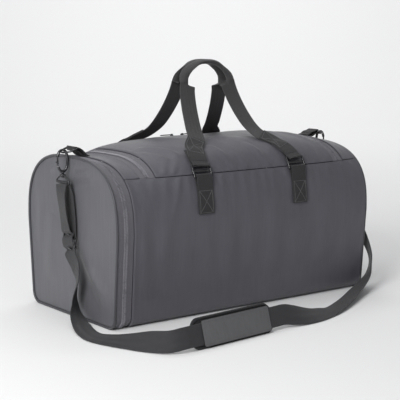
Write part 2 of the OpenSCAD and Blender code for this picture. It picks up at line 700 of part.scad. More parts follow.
// Shoulder pad: cushioned base behind the strap and a cover in front of it
module pad_slab(off, t, w, l) {
    out = cross(pad_dir, pad_up);
    ends = [[-0.5, 0.86], [-0.47, 0.94], [-0.42, 1], [0, 1], [0.42, 1], [0.47, 0.94], [0.5, 0.86]];
    path = [for (e = ends) pad_mid + e[0] * l * pad_dir + off * out];
    ribbon(path, [for (e = ends) pad_up], [for (e = ends) [e[1] * w / 2, t / 2]]);
}
strap_slot = strap_t / 2 + 0.5;
module pad_base() {
    color(webbing) pad_slab(-(strap_slot + pad_base_t / 2), pad_base_t, pad_w, pad_l);
}
module pad_cover() {
    color(fabric) pad_slab(strap_slot + pad_cover_t / 2, pad_cover_t, pad_w - 6, pad_l * 0.9);
}

bottom_panel();
base_board();
front_panel();
rear_panel();
left_end_panel();
right_end_panel();
divider_panel();
top_band_left();
top_band_right();
top_strip_rear();
end_zip_tape_outer();
end_zip_tape_inner();
end_zip_coil();
end_zip_slider();
end_zip_pull();
left_piping();
right_piping();
body_zip_tape();
body_zip_coil();
lid_panel();
lid_zip_tape();
lid_zip_coil();
lid_zip_slider_left();
lid_zip_slider_right();
lid_zip_pull_left();
lid_zip_pull_right();
front_tab_left();
front_tab_right();
rear_tab_left();
rear_tab_right();
buckle("front", "left");  // front_buckle_left
buckle("front", "right");  // front_buckle_right
buckle("rear", "left");  // rear_buckle_left
buckle("rear", "right");  // rear_buckle_right
front_handle();
rear_handle();
ring_tab("left");  // ring_tab_left
ring_tab("right");  // ring_tab_right
d_ring("left");  // d_ring_left
d_ring("right");  // d_ring_right
snap_hook("left");  // snap_hook_left
snap_hook("right");  // snap_hook_right
hook_gate("left");  // hook_gate_left
hook_gate("right");  // hook_gate_right
gate_pin("left");  // gate_pin_left
gate_pin("right");  // gate_pin_right
strap_eye("left");  // strap_eye_left
strap_eye("right");  // strap_eye_right
strap_adjuster();
strap_webbing();
strap_return_left();
strap_end_right();
pad_base();
pad_cover();
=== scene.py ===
"""Looks of the soft duffel bag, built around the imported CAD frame.

Lengths in this script are in millimetres, in the frame of the CAD part, and each mesh is
scaled to metres as it is made. The bag's skin follows the same section as the CAD part.
"""
import math

import bmesh
import bpy
import numpy as np
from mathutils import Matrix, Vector


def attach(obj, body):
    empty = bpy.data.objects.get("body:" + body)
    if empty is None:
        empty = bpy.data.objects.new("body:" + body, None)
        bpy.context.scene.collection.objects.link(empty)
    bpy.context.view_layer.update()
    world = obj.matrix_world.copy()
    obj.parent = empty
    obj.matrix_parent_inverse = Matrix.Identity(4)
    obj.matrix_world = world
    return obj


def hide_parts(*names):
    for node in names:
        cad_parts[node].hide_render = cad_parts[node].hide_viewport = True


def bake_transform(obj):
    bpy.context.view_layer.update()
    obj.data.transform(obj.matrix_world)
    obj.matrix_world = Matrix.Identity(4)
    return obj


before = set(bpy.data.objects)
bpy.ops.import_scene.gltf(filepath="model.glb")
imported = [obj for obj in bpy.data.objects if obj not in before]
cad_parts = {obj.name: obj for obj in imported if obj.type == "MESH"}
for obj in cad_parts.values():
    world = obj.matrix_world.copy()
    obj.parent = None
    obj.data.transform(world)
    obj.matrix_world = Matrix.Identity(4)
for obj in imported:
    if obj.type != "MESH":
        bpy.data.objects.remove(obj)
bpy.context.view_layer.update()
MM = 0.001
ALONG_X, ALONG_Y = np.array([1.0, 0, 0]), np.array([0, 1.0, 0])

# ---------------------------------------------------------------- camera and stage

CAMERA_AT = (-1.5054, -1.9941, 0.5811)
CAMERA_AZIMUTH = math.radians(36.97)
CAMERA_PITCH = math.radians(8.52)
CAMERA_LENS = 105.5


def add_object(name, data):
    made = bpy.data.objects.new(name, data)
    bpy.context.scene.collection.objects.link(made)
    return made


def add_camera():
    camera = add_object("camera", bpy.data.cameras.new("camera"))
    camera.location = CAMERA_AT
    camera.rotation_euler = (math.pi / 2 - CAMERA_PITCH, 0, -CAMERA_AZIMUTH)
    camera.data.lens = CAMERA_LENS
    camera.data.sensor_width = 36
    camera.data.clip_end = 50
    bpy.context.scene.camera = camera


def smoothed(mesh):
    mesh.polygons.foreach_set("use_smooth", [True] * len(mesh.polygons))


def plain_material(name, color, roughness):
    made = bpy.data.materials.new(name)
    made.use_nodes = True
    shader = made.node_tree.nodes["Principled BSDF"]
    shader.inputs["Base Color"].default_value = (*color, 1)
    shader.inputs["Roughness"].default_value = roughness
    return made


def add_stage():
    """A pale floor that sweeps up into a backdrop behind the bag."""
    near, far, rise, sweep = -8.0, 7.0, 9.0, 3.0
    profile = [(near, 0), (far - sweep, 0)]
    for i in range(1, 13):
        a = math.pi / 2 * i / 12
        profile.append((far - sweep + sweep * math.sin(a), sweep - sweep * math.cos(a)))
    profile.append((far, rise))
    ca, sa = math.cos(-CAMERA_AZIMUTH), math.sin(-CAMERA_AZIMUTH)
    verts = []
    for depth, z in profile:
        for across in (-12, 12):
            verts.append((across * ca - depth * sa, across * sa + depth * ca, z))
    faces = [(2 * i, 2 * i + 1, 2 * i + 3, 2 * i + 2) for i in range(len(profile) - 1)]
    mesh = bpy.data.meshes.new("floor")
    mesh.from_pydata(verts, [], faces)
    smoothed(mesh)
    mesh.materials.append(plain_material("floor_paint", (0.86, 0.86, 0.86), 0.9))
    add_object("floor", mesh)


def add_light(name, at, target, size, power):
    data = bpy.data.lights.new(name, "AREA")
    data.shape = "RECTANGLE"
    data.size, data.size_y = size
    data.energy = power
    light = add_object(name, data)
    light.location = at
    light.rotation_euler = (Vector(target) - Vector(at)).to_track_quat("-Z", "Y").to_euler()


def add_lights():
    centre = (0, 0, 0.2)
    add_light("overhead", (-0.7, 0.2, 2.6), centre, (2.2, 2.2), 20)
    add_light("left_softbox", (-2.3, -1.3, 1.5), (-0.2, 0, 0.2), (1.0, 1.0), 54)
    add_light("backdrop_wash", (1.6, 2.2, 5.0), (4.4, 5.8, 0.8), (4.0, 2.0), 200)
    world = bpy.data.worlds.new("studio")
    world.use_nodes = True
    background = world.node_tree.nodes["Background"]
    background.inputs["Color"].default_value = (0.93, 0.94, 0.96, 1)
    background.inputs["Strength"].default_value = 0.3
    bpy.context.scene.world = world
    bpy.context.scene.view_settings.view_transform = "Standard"


add_camera()
add_stage()
add_lights()

# ---------------------------------------------------------------- materials


class Nodes:
    """Short spellings for building a node material."""

    def __init__(self, name, color, roughness, metallic=0.0, sheen=0.0, specular=0.5, coat=0.0):
        self.material = bpy.data.materials.new(name)
        self.material.use_nodes = True
        self.tree = self.material.node_tree
        self.shader = self.tree.nodes["Principled BSDF"]
        self.color = color
        self.roughness = roughness
        self.set("Metallic", metallic)
        self.set("Sheen Weight", sheen)
        self.set("Sheen Roughness", 0.45)
        self.set("Specular IOR Level", specular)
        self.set("Coat Weight", coat)
        self.set("Coat Roughness", 0.35)

    def set(self, socket, value):
        self.shader.inputs[socket].default_value = value

    def node(self, kind, **values):
        made = self.tree.nodes.new(kind)
        for key, value in values.items():
            setattr(made, key, value)
        return made

    def link(self, value, socket):
        if isinstance(value, (int, float)):
            socket.default_value = value
        else:
            self.tree.links.new(value, socket)

    def math(self, operation, a, b=0.0, c=0.0):
        made = self.node("ShaderNodeMath", operation=operation)
        for value, socket in zip((a, b, c), made.inputs):
            self.link(value, socket)
        return made.outputs[0]

    def weighted(self, a, share, b, other_share):
        return self.math("ADD", self.math("MULTIPLY", a, share), self.math("MULTIPLY", b, other_share))

    def cloth(self):
        """Along and across the cloth, in millimetres, as stored on the mesh."""
        read = self.node("ShaderNodeAttribute", attribute_name="cloth")
        split = self.node("ShaderNodeSeparateXYZ")
        self.link(read.outputs["Vector"], split.inputs[0])
        return split.outputs["X"], split.outputs["Y"]

    def noise(self, scale, detail=3.0, stretch=(1, 1, 1)):
        place = self.node("ShaderNodeTexCoord")
        mapping = self.node("ShaderNodeMapping")
        mapping.inputs["Scale"].default_value = stretch
        made = self.node("ShaderNodeTexNoise")
        made.inputs["Scale"].default_value = scale
        made.inputs["Detail"].default_value = detail
        self.link(place.outputs["Object"], mapping.inputs["Vector"])
        self.link(mapping.outputs["Vector"], made.inputs["Vector"])
        return made.outputs["Fac"]

    def spread(self, value, low, high):
        """Maps a noise, which stays near 0.5, to the range low to high."""
        made = self.node("ShaderNodeMapRange")
        for socket, number in (("From Min", 0.3), ("From Max", 0.7), ("To Min", low), ("To Max", high)):
            made.inputs[socket].default_value = number
        self.link(value, made.inputs["Value"])
        return made.outputs["Result"]

    def finish(self, shade, roughness, height, depth_mm, strength=1.0):
        """shade multiplies the base colour; height is the relief, depth_mm deep."""
        tint = self.node("ShaderNodeVectorMath", operation="SCALE")
        tint.inputs[0].default_value = self.color
        self.link(shade, tint.inputs["Scale"])
        self.link(tint.outputs[0], self.shader.inputs["Base Color"])
        self.link(roughness, self.shader.inputs["Roughness"])
        bump = self.node("ShaderNodeBump")
        bump.inputs["Strength"].default_value = strength
        bump.inputs["Distance"].default_value = depth_mm * MM
        self.link(height, bump.inputs["Height"])
        self.link(bump.outputs["Normal"], self.shader.inputs["Normal"])
        return self.material


def wave(n, value, pitch):
    """0 to 1 ripple of that pitch, in the units of value."""
    turned = n.math("MULTIPLY", value, 2 * math.pi / pitch)
    return n.math("MULTIPLY_ADD", n.math("SINE", turned), 0.5, 0.5)


def coated_cloth(name, color, roughness=0.5, thread=0.9, sheen=0.12):
    """Plain weave under a soft coating, with slubs along the warp and a cloudy finish."""
    n = Nodes(name, color, roughness, sheen=sheen, specular=0.42)
    along, across = n.cloth()
    warp = wave(n, along, thread)
    weft = wave(n, across, thread * 1.15)
    weave = n.math("MAXIMUM", n.math("MULTIPLY", warp, 0.8), weft)
    slub = n.noise(230, 2, (1, 1, 0.05))
    cloud = n.noise(9, 4)
    height = n.weighted(weave, 0.5, slub, 1.1)
    shade = n.math("ADD", n.spread(slub, -0.06, 0.06), n.spread(cloud, 0.93, 1.07))
    # Darker where the weave is low: painted shade between the threads.
    shade = n.math("ADD", shade, n.math("MULTIPLY_ADD", weave, 0.10, -0.06))
    return n.finish(shade, n.spread(cloud, roughness - 0.05, roughness + 0.05), height, 0.22, 0.5)


def webbing_cloth(name, color, column=8.0, rib=2.3, roughness=0.62):
    """Herringbone webbing: ribs that zigzag from column to column."""
    n = Nodes(name, color, roughness, sheen=0.10, specular=0.3)
    along, across = n.cloth()
    zigzag = n.math("PINGPONG", n.math("ADD", across, 100.0), column)
    ribs = wave(n, n.math("ADD", along, zigzag), rib)
    threads = wave(n, across, 1.1)
    fuzz = n.noise(900, 2)
    height = n.weighted(ribs, 0.8, threads, 0.3)
    height = n.math("ADD", height, n.math("MULTIPLY", fuzz, 0.7))
    # The colour follows the ribs: painted shade in their grooves and painted highlight on their crests.
    shade = n.math("ADD", n.math("MULTIPLY", ribs, 0.9), n.spread(fuzz, 0.3, 0.75))
    return n.finish(shade, n.spread(fuzz, roughness - 0.06, roughness + 0.06), height, 0.5, 0.7)


def zip_cloth(name, color):
    """Tightly woven tape with cross ribs."""
    n = Nodes(name, color, 0.55, sheen=0.1, specular=0.4)
    along, across = n.cloth()
    ribs = wave(n, across, 1.6)
    wales = wave(n, along, 1.3)
    fuzz = n.noise(700, 2)
    height = n.math("ADD", ribs, n.math("MULTIPLY", wales, 0.6))
    # The colour follows the ribs: painted shade between them and painted highlight on them.
    shade = n.math("ADD", n.math("MULTIPLY", ribs, 0.45), n.spread(fuzz, 0.55, 0.95))
    return n.finish(shade, n.spread(fuzz, 0.45, 0.6), height, 0.6, 0.8)


def moulded(name, color, roughness, metallic=0.0, coat=0.0, grain=1400, depth=0.03):
    """Moulded plastic, plated metal or board: fine grain and slightly uneven gloss."""
    n = Nodes(name, color, roughness, metallic=metallic, coat=coat)
    fine = n.noise(grain, 2)
    broad = n.noise(60, 3)
    shade = n.math("ADD", n.spread(fine, -0.04, 0.04), n.spread(broad, 0.9, 1.1))
    return n.finish(shade, n.spread(broad, roughness * 0.8, roughness * 1.2), fine, depth, 0.5)


SLATE = (0.086, 0.085, 0.100)
MATERIALS = {
    "shell": coated_cloth("shell_cloth", SLATE),
    # The end panels' cloth is the shell cloth painted lighter: painted light, as from the lamp at the
    # left end.
    "end": coated_cloth("end_cloth_painted_light", (0.118, 0.118, 0.130)),
    "inside": coated_cloth("inside_cloth", (0.05, 0.05, 0.057), 0.6),
    # The zip tape is the shell's grey painted lighter: painted highlight on the zip bands.
    "tape": zip_cloth("zip_tape_painted_highlight", (0.135, 0.130, 0.148)),
    # The coil is the zip's grey painted much lighter: painted highlight on its turns.
    "coil": moulded("coil_nylon_painted_highlight", (0.26, 0.255, 0.28), 0.3),
    "piping": coated_cloth("piping_cloth", (0.062, 0.062, 0.070), 0.42, 0.7),
    "handle": webbing_cloth("handle_webbing", (0.056, 0.055, 0.057), 4.0, 1.9),
    "loop": webbing_cloth("loop_webbing", (0.031, 0.030, 0.032), 2.4, 3.1, 0.75),
    "strap": webbing_cloth("strap_webbing", (0.036, 0.036, 0.039)),
    "box_thread": moulded("box_thread", (0.115, 0.115, 0.118), 0.5),
    "grey_thread": moulded("grey_thread", (0.150, 0.148, 0.165), 0.55),
    "plastic": moulded("buckle_plastic", (0.014, 0.014, 0.016), 0.2, coat=0.6, grain=900, depth=0.02),
    "gunmetal": moulded("gunmetal", (0.075, 0.075, 0.080), 0.22, metallic=0.9, coat=0.3),
    "enamel": moulded("zip_enamel", (0.03, 0.03, 0.033), 0.3, metallic=0.4),
    "steel": moulded("pin_steel", (0.45, 0.45, 0.47), 0.3, metallic=1.0),
    "board": moulded("board_plastic", (0.03, 0.03, 0.03), 0.6, depth=0.15),
    "pad": coated_cloth("pad_cloth", (0.100, 0.101, 0.104), 0.55, 1.3),
    "mesh": webbing_cloth("pad_mesh", (0.020, 0.020, 0.022), 1.6, 3.0, 0.7),
}

# ---------------------------------------------------------------- mesh helpers


def paint(mesh, material):
    mesh.materials.clear()
    mesh.materials.append(MATERIALS[material])


def make_piece(name, verts, faces, material, cloth=None):
    """A smooth-shaded mesh object; cloth is the place of each point on the cloth, in mm."""
    mesh = bpy.data.meshes.new(name)
    mesh.from_pydata((np.asarray(verts, float) * MM).tolist(), [], faces)
    mesh.validate()
    if cloth is not None:
        flat = np.zeros((len(mesh.vertices), 3), np.float32)
        flat[:, :2] = cloth
        stored = mesh.attributes.new("cloth", "FLOAT_VECTOR", "POINT")
        stored.data.foreach_set("vector", flat.ravel())
    smoothed(mesh)
    mesh.set_sharp_from_angle(angle=math.radians(50))
    paint(mesh, material)
    return add_object(name, mesh)


def stands_for(piece, body, nodes=()):
    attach(piece, body)
    if nodes:
        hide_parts(*nodes)
    return piece


def closed_grids(outer, inner):
    """Points and faces of the closed solid between two grids of points."""
    ni, nj = outer.shape[:2]
    o = np.arange(ni * nj).reshape(ni, nj)
    n = o + ni * nj

    def quads(a, b, c, d):
        return np.stack([a.ravel(), b.ravel(), c.ravel(), d.ravel()], 1)

    faces = np.concatenate([
        quads(o[:-1, :-1], o[:-1, 1:], o[1:, 1:], o[1:, :-1]),
        quads(n[:-1, :-1], n[1:, :-1], n[1:, 1:], n[:-1, 1:]),
        quads(o[:-1, 0], o[1:, 0], n[1:, 0], n[:-1, 0]),
        quads(o[1:, -1], o[:-1, -1], n[:-1, -1], n[1:, -1]),
        quads(o[0, 1:], o[0, :-1], n[0, :-1], n[0, 1:]),
        quads(o[-1, :-1], o[-1, 1:], n[-1, 1:], n[-1, :-1]),
    ])
    return np.concatenate([outer.reshape(-1, 3), inner.reshape(-1, 3)]), faces.tolist()


def ring_faces(rings, sides, closed=False, first=0):
    """Faces of a skin over rings of points, with its two ends closed unless it runs round."""
    faces = []
    for i in range(rings if closed else rings - 1):
        a, b = first + i * sides, first + (i + 1) % rings * sides
        for k in range(sides):
            m = (k + 1) % sides
            faces.append((a + k, a + m, b + m, b + k))
    if not closed:
        faces.append(tuple(first + k for k in range(sides - 1, -1, -1)))
        faces.append(tuple(first + (rings - 1) * sides + k for k in range(sides)))
    return faces


def shell_faces(rings, sides, sign):
    """Faces of a closed shell: an outer and an inner layer of rings, joined at the last ring."""
    faces = []
    for layer in (0, 1):
        facing = 1 if (layer == 0) == (sign > 0) else -1
        for i in range(rings - 1):
            a = (layer * rings + i) * sides
            for k in range(sides):
                m = (k + 1) % sides
                faces.append((a + k, a + sides + k, a + sides + m, a + m)[::facing])
        faces.append(tuple(layer * rings * sides + k for k in range(sides))[::-facing])
    a, b = (rings - 1) * sides, (2 * rings - 1) * sides
    for k in range(sides):
        m = (k + 1) % sides
        faces.append((a + k, b + k, b + m, a + m)[::1 if sign > 0 else -1])
    return faces


def unit(v):
    return v / np.maximum(np.linalg.norm(v, axis=-1, keepdims=True), 1e-9)


def circle(sides):
    """Angles once round, without the last."""
    return 2 * math.pi * np.arange(sides) / sides


def smooth_line(points, steps):
    """Smooth curve through the points, with steps in each stretch."""
    p = np.asarray(points, float)
    p = np.concatenate([2 * p[:1] - p[1:2], p, 2 * p[-1:] - p[-2:-1]])
    t = (np.arange(steps) / steps)[:, None]
    out = []
    for a, b, c, d in zip(p[:-3], p[1:-2], p[2:-1], p[3:]):
        out.append(0.5 * (2 * b + (c - a) * t + (2 * a - 5 * b + 4 * c - d) * t ** 2
                          + (3 * b - a - 3 * c + d) * t ** 3))
    return np.concatenate(out + [p[-2:-1]])


def lengths(points):
    """Distance along a line of points."""
    return np.concatenate([[0], np.cumsum(np.linalg.norm(np.diff(points, axis=0), axis=1))])


def read_at(at, run, rows):
    """Rows of three values read at distances; run is the distance of each row."""
    return np.stack([np.interp(at, run, rows[:, k]) for k in range(3)], 1)


def evenly(points, pitch, start=0.0, end=0.0, extra=()):
    """Places every pitch along a line, with their directions and any extra values there."""
    run = lengths(points)
    at = np.arange(start, run[-1] - end, pitch)
    direction = unit(read_at(at + 0.5, run, points) - read_at(at - 0.5, run, points))
    return (direction, *[read_at(at, run, rows) for rows in (points, *extra)])


def capsules(name, centres, axes, half, radius, material, sides=5):
    """One mesh of many small round-ended rods, such as stitches or the turns of a zip coil."""
    axes = unit(axes)
    side = unit(np.cross(axes, np.where(np.abs(axes[:, 2:]) < 0.8, [[0, 0, 1.0]], [[1.0, 0, 0]])))
    up = np.cross(axes, side)
    rings = [(-half, 0.45), (-half + 0.6 * radius, 1.0), (half - 0.6 * radius, 1.0), (half, 0.45)]
    turn = circle(sides)
    rows = []
    for along, share in rings:
        ring = (centres + along * axes)[:, None]
        ring = ring + share * radius * (side[:, None] * np.cos(turn)[None, :, None]
                                        + up[:, None] * np.sin(turn)[None, :, None])
        rows.append(ring)
    verts = np.stack(rows, 1).reshape(-1, 3)
    faces = []
    for i in range(len(centres)):
        faces += ring_faces(len(rings), sides, first=i * len(rings) * sides)
    return make_piece(name, verts, faces, material)


def tube(name, points, radius, material, sides=12, closed=False, up=(0, 0, 1)):
    """Round tube along the points; radius is a number or one per point."""
    p = np.asarray(points, float)
    if closed:
        t = unit(np.roll(p, -1, 0) - np.roll(p, 1, 0))
    else:
        t = unit(np.gradient(p, axis=0))
    radius = np.broadcast_to(np.asarray(radius, float), (len(p),))[:, None, None]
    side = unit(np.cross(t, np.broadcast_to(np.asarray(up, float), t.shape)))
    over = np.cross(side, t)
    a = circle(sides)
    ring = p[:, None] + radius * (side[:, None] * np.cos(a)[None, :, None]
                                  + over[:, None] * np.sin(a)[None, :, None])
    run = lengths(p)[:, None] + 0 * a
    round_it = 0 * run + radius[:, :, 0] * a
    cloth = np.stack([run.ravel(), round_it.ravel()], 1)
    return make_piece(name, ring.reshape(-1, 3), ring_faces(len(p), sides, closed), material, cloth)


def swept(name, points, frames, sections, material, places):
    """Closed sweep: at each point, the section's (u, v) pairs along the two frame vectors."""
    u, v = frames
    ring = (points[:, None] + sections[:, :, :1] * u[:, None] + sections[:, :, 1:] * v[:, None])
    faces = ring_faces(*ring.shape[:2])
    run = lengths(points)[:, None] + 0 * places
    across = 0 * run + places
    cloth = np.stack([run.ravel(), across.ravel()], 1)
    return make_piece(name, ring.reshape(-1, 3), faces, material, cloth)


def thick_outline(centre, t):
    """Closed outline around an open 2D line, t thick, with rounded edges."""
    d = unit(np.gradient(centre, axis=0))
    out = np.stack([-d[:, 1], d[:, 0]], 1)
    run = lengths(centre)
    edge = np.minimum(run, run[-1] - run)
    half = t / 2 * np.sqrt(np.clip(1 - (1 - np.clip(edge / (0.5 * t), 0, 1)) ** 2, 0.09, 1))
    return np.concatenate([centre + out * half[:, None], (centre - out * half[:, None])[::-1]])


def strip_places(width):
    """Places across a flat strip, close together at its edges."""
    h = width / 2
    return np.array([-h, -h + 0.3, -h + 0.9, -h + 2, -h / 2, 0, h / 2, h - 2, h - 0.9, h - 0.3, h])


def ribbon_frames(points, widths):
    """Directions of a ribbon's width and thickness; widths is one direction or one per point."""
    tangent = unit(np.gradient(points, axis=0))
    u = unit(widths - np.sum(widths * tangent, 1, keepdims=True) * tangent)
    return u, np.cross(tangent, u)


def webbing_strip(name, points, widths, width, t, material):
    """Flat webbing along the points, in a piece; also the directions of its ribbon."""
    u, v = ribbon_frames(points, widths)
    across = strip_places(width)
    outline = thick_outline(np.stack([across, 0 * across], 1), t)
    sections = np.repeat(outline[None], len(points), 0)
    places = np.concatenate([across, across[::-1]])[None]
    return swept(name, points, (u, v), sections, material, places), (u, v)


# ---------------------------------------------------------------- the bag's skin

HALF_L, HALF_W, HALF_BASE = 325.0, 172.0, 160.0
WALL_H, BASE_R, SEAM_H = 180.0, 26.0, 288.0
RIDGE_X = np.array([-325, -290, -255, -200, -100, 50, 200, 280, 325], float)
RIDGE_Z = np.array([326, 319.5, 321, 335, 343.5, 345.5, 344.5, 330.5, 321], float)
PANEL_T, TAPE_T = 1.8, 1.2
PIPE_R = 2.6
PIPE_IN = PIPE_R + 0.1
END_ZIP_X, STRIP_X, EDGE_X = -307.0, -289.0, 323.4
LID_LEFT, LID_RIGHT, LID_REAR = -238.0, 260.0, 90.0
TAPE_HALF = 16.5
BUCKLE_X, HANDLE_X = 123.5, 4.5
ROW_PITCH = 3.4                              # length of one stitch


def ridge(x):
    """Height of the roof's ridge, smoothed between its stations."""
    x = np.clip(x, RIDGE_X[0], RIDGE_X[-1])
    slope = np.gradient(RIDGE_Z, RIDGE_X)
    i = np.clip(np.searchsorted(RIDGE_X, x, side="right") - 1, 0, len(RIDGE_X) - 2)
    h = RIDGE_X[i + 1] - RIDGE_X[i]
    t = (x - RIDGE_X[i]) / h
    return ((2 * t ** 3 - 3 * t ** 2 + 1) * RIDGE_Z[i] + (t ** 3 - 2 * t ** 2 + t) * h * slope[i]
            + (3 * t ** 2 - 2 * t ** 3) * RIDGE_Z[i + 1] + (t ** 3 - t ** 2) * h * slope[i + 1])


def boxy(x):
    return 3.1 - 0.3 * np.minimum(1, np.abs(x) / HALF_L) ** 3


def section(x, s):
    """(y, z) of the skin: s runs 0..4 from the base up the front to the ridge, 4..8 down."""
    x, s = np.broadcast_arrays(np.asarray(x, float), np.mod(s, 8))
    r = np.where(s <= 4, s, 8 - s)
    power = 2 / boxy(x)
    edge = np.clip(r - 1, 0, 1) * math.pi / 2
    roof = np.clip(r - 3, 0, 1) * math.pi / 2
    flat = HALF_BASE - BASE_R
    y = np.select([r <= 1, r <= 2, r <= 3],
                  [flat * r, flat + BASE_R * np.sin(edge), HALF_BASE + (HALF_W - HALF_BASE) * (r - 2)],
                  HALF_W * np.clip(np.cos(roof), 0, 1) ** power)
    z = np.select([r <= 1, r <= 2, r <= 3],
                  [0 * r, BASE_R - BASE_R * np.cos(edge), BASE_R + (WALL_H - BASE_R) * (r - 2)],
                  WALL_H + (ridge(x) - WALL_H) * np.clip(np.sin(roof), 0, 1) ** power)
    return np.where(s <= 4, -y, y), z


def s_seam(x):
    x = np.asarray(x, float)
    ratio = (SEAM_H - WALL_H) / (ridge(x) - WALL_H)
    return 3 + np.arcsin(ratio ** (boxy(x) / 2)) / (math.pi / 2)


def s_behind(x, y):
    """Section place at the distance y behind the middle of the roof."""
    return 5 - np.arccos((y / HALF_W) ** (boxy(x) / 2)) / (math.pi / 2)


def skin_line(x, s0, s1, fine=1600):
    """Points and outward directions along the section at x, close together."""
    s = np.linspace(s0, s1, fine)
    y, z = section(x, s)
    p = np.stack([np.full_like(y, x), y, z], 1)
    keep = np.concatenate([[True], np.linalg.norm(np.diff(p, axis=0), axis=1) > 1e-6])
    p = p[keep]
    d = unit(np.gradient(p, axis=0))
    out = np.stack([0 * y[keep], -d[:, 2], d[:, 1]], 1)
    return p, out


def edge_places(length, step):
    """Places over a length, close together near both ends where the edges roll in."""
    near = np.array([0, 0.35, 0.8, 1.4, 2.2, 3.4, 5.5])
    count = max(2, int(round((length - 11) / step)))
    return np.concatenate([near[:-1], np.linspace(near[-1], length - near[-1], count),
                           length - near[:-1][::-1]])


def skin_grid(x0, x1, s_low, s_high, step):
    """Grid of points on the skin with outward directions and distances from the edges."""
    xs = x0 + edge_places(x1 - x0, step)
    middle = lengths(skin_line((x0 + x1) / 2, s_low((x0 + x1) / 2), s_high((x0 + x1) / 2))[0])[-1]
    share = edge_places(middle, step) / middle
    points, outs, along = [], [], []
    for x in xs:
        p, out = skin_line(x, float(s_low(x)), float(s_high(x)))
        run = lengths(p)
        at = share * run[-1]
        points.append(read_at(at, run, p))
        outs.append(unit(read_at(at, run, out)))
        along.append(at)
    along = np.array(along)
    side = np.minimum(xs - x0, x1 - xs)[:, None] + 0 * along
    return np.array(points), np.array(outs), along, side


def rolled(distance, radius):
    """How far an edge has rolled in at a distance from it."""
    return radius * (1 - np.sqrt(np.clip(1 - (1 - np.clip(distance / radius, 0, 1)) ** 2, 0, 1)))


def ease(value):
    value = np.clip(value, 0, 1)
    return value * value * (3 - 2 * value)


# What the widths and heights in the lists of folds and puckers are multiplied by
FOLD_GAIN, PUCKER_GAIN, PUCKER_WIDTH = 2.4, 1.9, 0.62


def folds(a, b, creases):
    """Soft ridges, each beside a shallow valley: (a0, b0, a1, b1, width, height)."""
    out = np.zeros_like(a)
    for a0, b0, a1, b1, width, height in creases:
        length = math.hypot(a1 - a0, b1 - b0)
        da, db = (a1 - a0) / length, (b1 - b0) / length
        t = ((a - a0) * da + (b - b0) * db) / length
        side = (-(a - a0) * db + (b - b0) * da) / width
        fade = np.sin(math.pi * np.clip(t, 0, 1)) ** 0.8
        out += height * fade * (np.exp(-side ** 2) - 0.6 * np.exp(-(side - 1.7) ** 2))
    return FOLD_GAIN * out


def swell(p, seed):
    """Slow uneven swelling of slack cloth, about -1 to 1."""
    r = np.random.default_rng(seed)
    out = np.zeros(p.shape[:2])
    for _ in range(9):
        k = unit(r.normal(size=3)) * r.uniform(0.008, 0.028)
        out += np.sin(p @ k + r.uniform(0, 6.28))
    return out / 4.5


# Puckers along the front seam: place along the bag, lean, width, height, length
WALL_PUCKERS = [
    (-262, 0.1, 9, 0.9, 60), (-232, -0.2, 8, 1.1, 50), (-205, -0.15, 9, 1.3, 60),
    (-172, -0.35, 8, 2.3, 70), (-152, -0.1, 6, 1.3, 35), (-92, 0.1, 6, 1.1, 40),
    (-72, 0.0, 7, 2.2, 55), (-42, 0.0, 7, 1.2, 45), (-16, 0.05, 8, 1.5, 60),
    (14, 0.0, 7, 1.3, 45), (38, 0.1, 7, 1.0, 50), (62, 0.0, 7, 1.2, 45),
    (96, 0.45, 7, 1.9, 50), (160, 0.2, 7, 1.4, 45), (190, 0.0, 8, 1.0, 50),
    (222, -0.1, 8, 1.1, 60), (258, 0.1, 9, 1.2, 50), (292, 0.1, 9, 0.9, 50),
]
ROOF_PUCKERS = [
    (-205, 0.5, 7, 1.6, 30), (-184, 0.6, 7, 2.0, 34), (-160, 0.2, 6, 1.0, 26),
    (-84, -0.5, 6, 1.9, 30), (-58, -0.3, 7, 1.0, 40), (-30, -0.4, 8, 1.5, 60),
    (4, -0.3, 8, 1.9, 60), (36, -0.4, 7, 1.0, 50), (64, -0.5, 8, 1.7, 60),
    (96, -0.5, 6, 1.2, 30), (158, 0.4, 8, 1.2, 36), (196, 0.2, 8, 1.1, 40), (228, 0.3, 7, 1.0, 30),
]


def puckers(x, away, places):
    """Short ridges that run out from a seam, over the slight dip of the cloth beside it."""
    out = np.zeros_like(x)
    for centre, lean, width, height, length in places:
        grown = PUCKER_WIDTH * width * (1 + away / length)
        ripple = np.exp(-((x - centre - lean * away) / grown) ** 2)
        out += PUCKER_GAIN * height * ripple * ease(away / 9) * np.exp(-away / length)
    return out - 0.5 * ease(away / 9) * np.exp(-away / 30)


def held_flat(x, width=27):
    """Near 0 beside the tabs and handle legs, where webbing holds the cloth down."""
    out = 1.0
    for place in (HANDLE_X - BUCKLE_X, HANDLE_X + BUCKLE_X):
        out = out * (1 - np.exp(-(np.abs(x - place) / width) ** 6))
    return out


WALL_FOLDS = [
    (-276, 250, -262, 60, 16, 1.1), (-226, 236, -214, 90, 22, 1.3), (-176, 214, -168, 60, 26, 1.2),
    (-118, 200, -112, 70, 22, 1.0), (-60, 222, -52, 60, 20, 1.3), (-4, 220, 0, 90, 24, 1.1),
    (58, 216, 62, 60, 24, 1.3), (128, 200, 130, 80, 26, 1.0), (204, 226, 200, 70, 24, 1.3),
    (268, 230, 262, 60, 20, 1.0), (-286, 60, -180, 34, 12, 0.9),
]
ROOF_FOLDS = [
    (-196, -40, -132, -134, 9, 2.2), (-216, -70, -172, -128, 7, 1.2), (-110, 40, -30, -70, 22, 1.2),
    (-30, -20, 60, -90, 20, 1.1), (90, 30, 170, -60, 22, 1.2), (170, -20, 236, -110, 12, 1.3),
    (-60, -96, -36, -140, 7, 1.1), (30, -100, 56, -142, 8, 1.4), (60, -30, 96, -128, 10, 0.9),
]


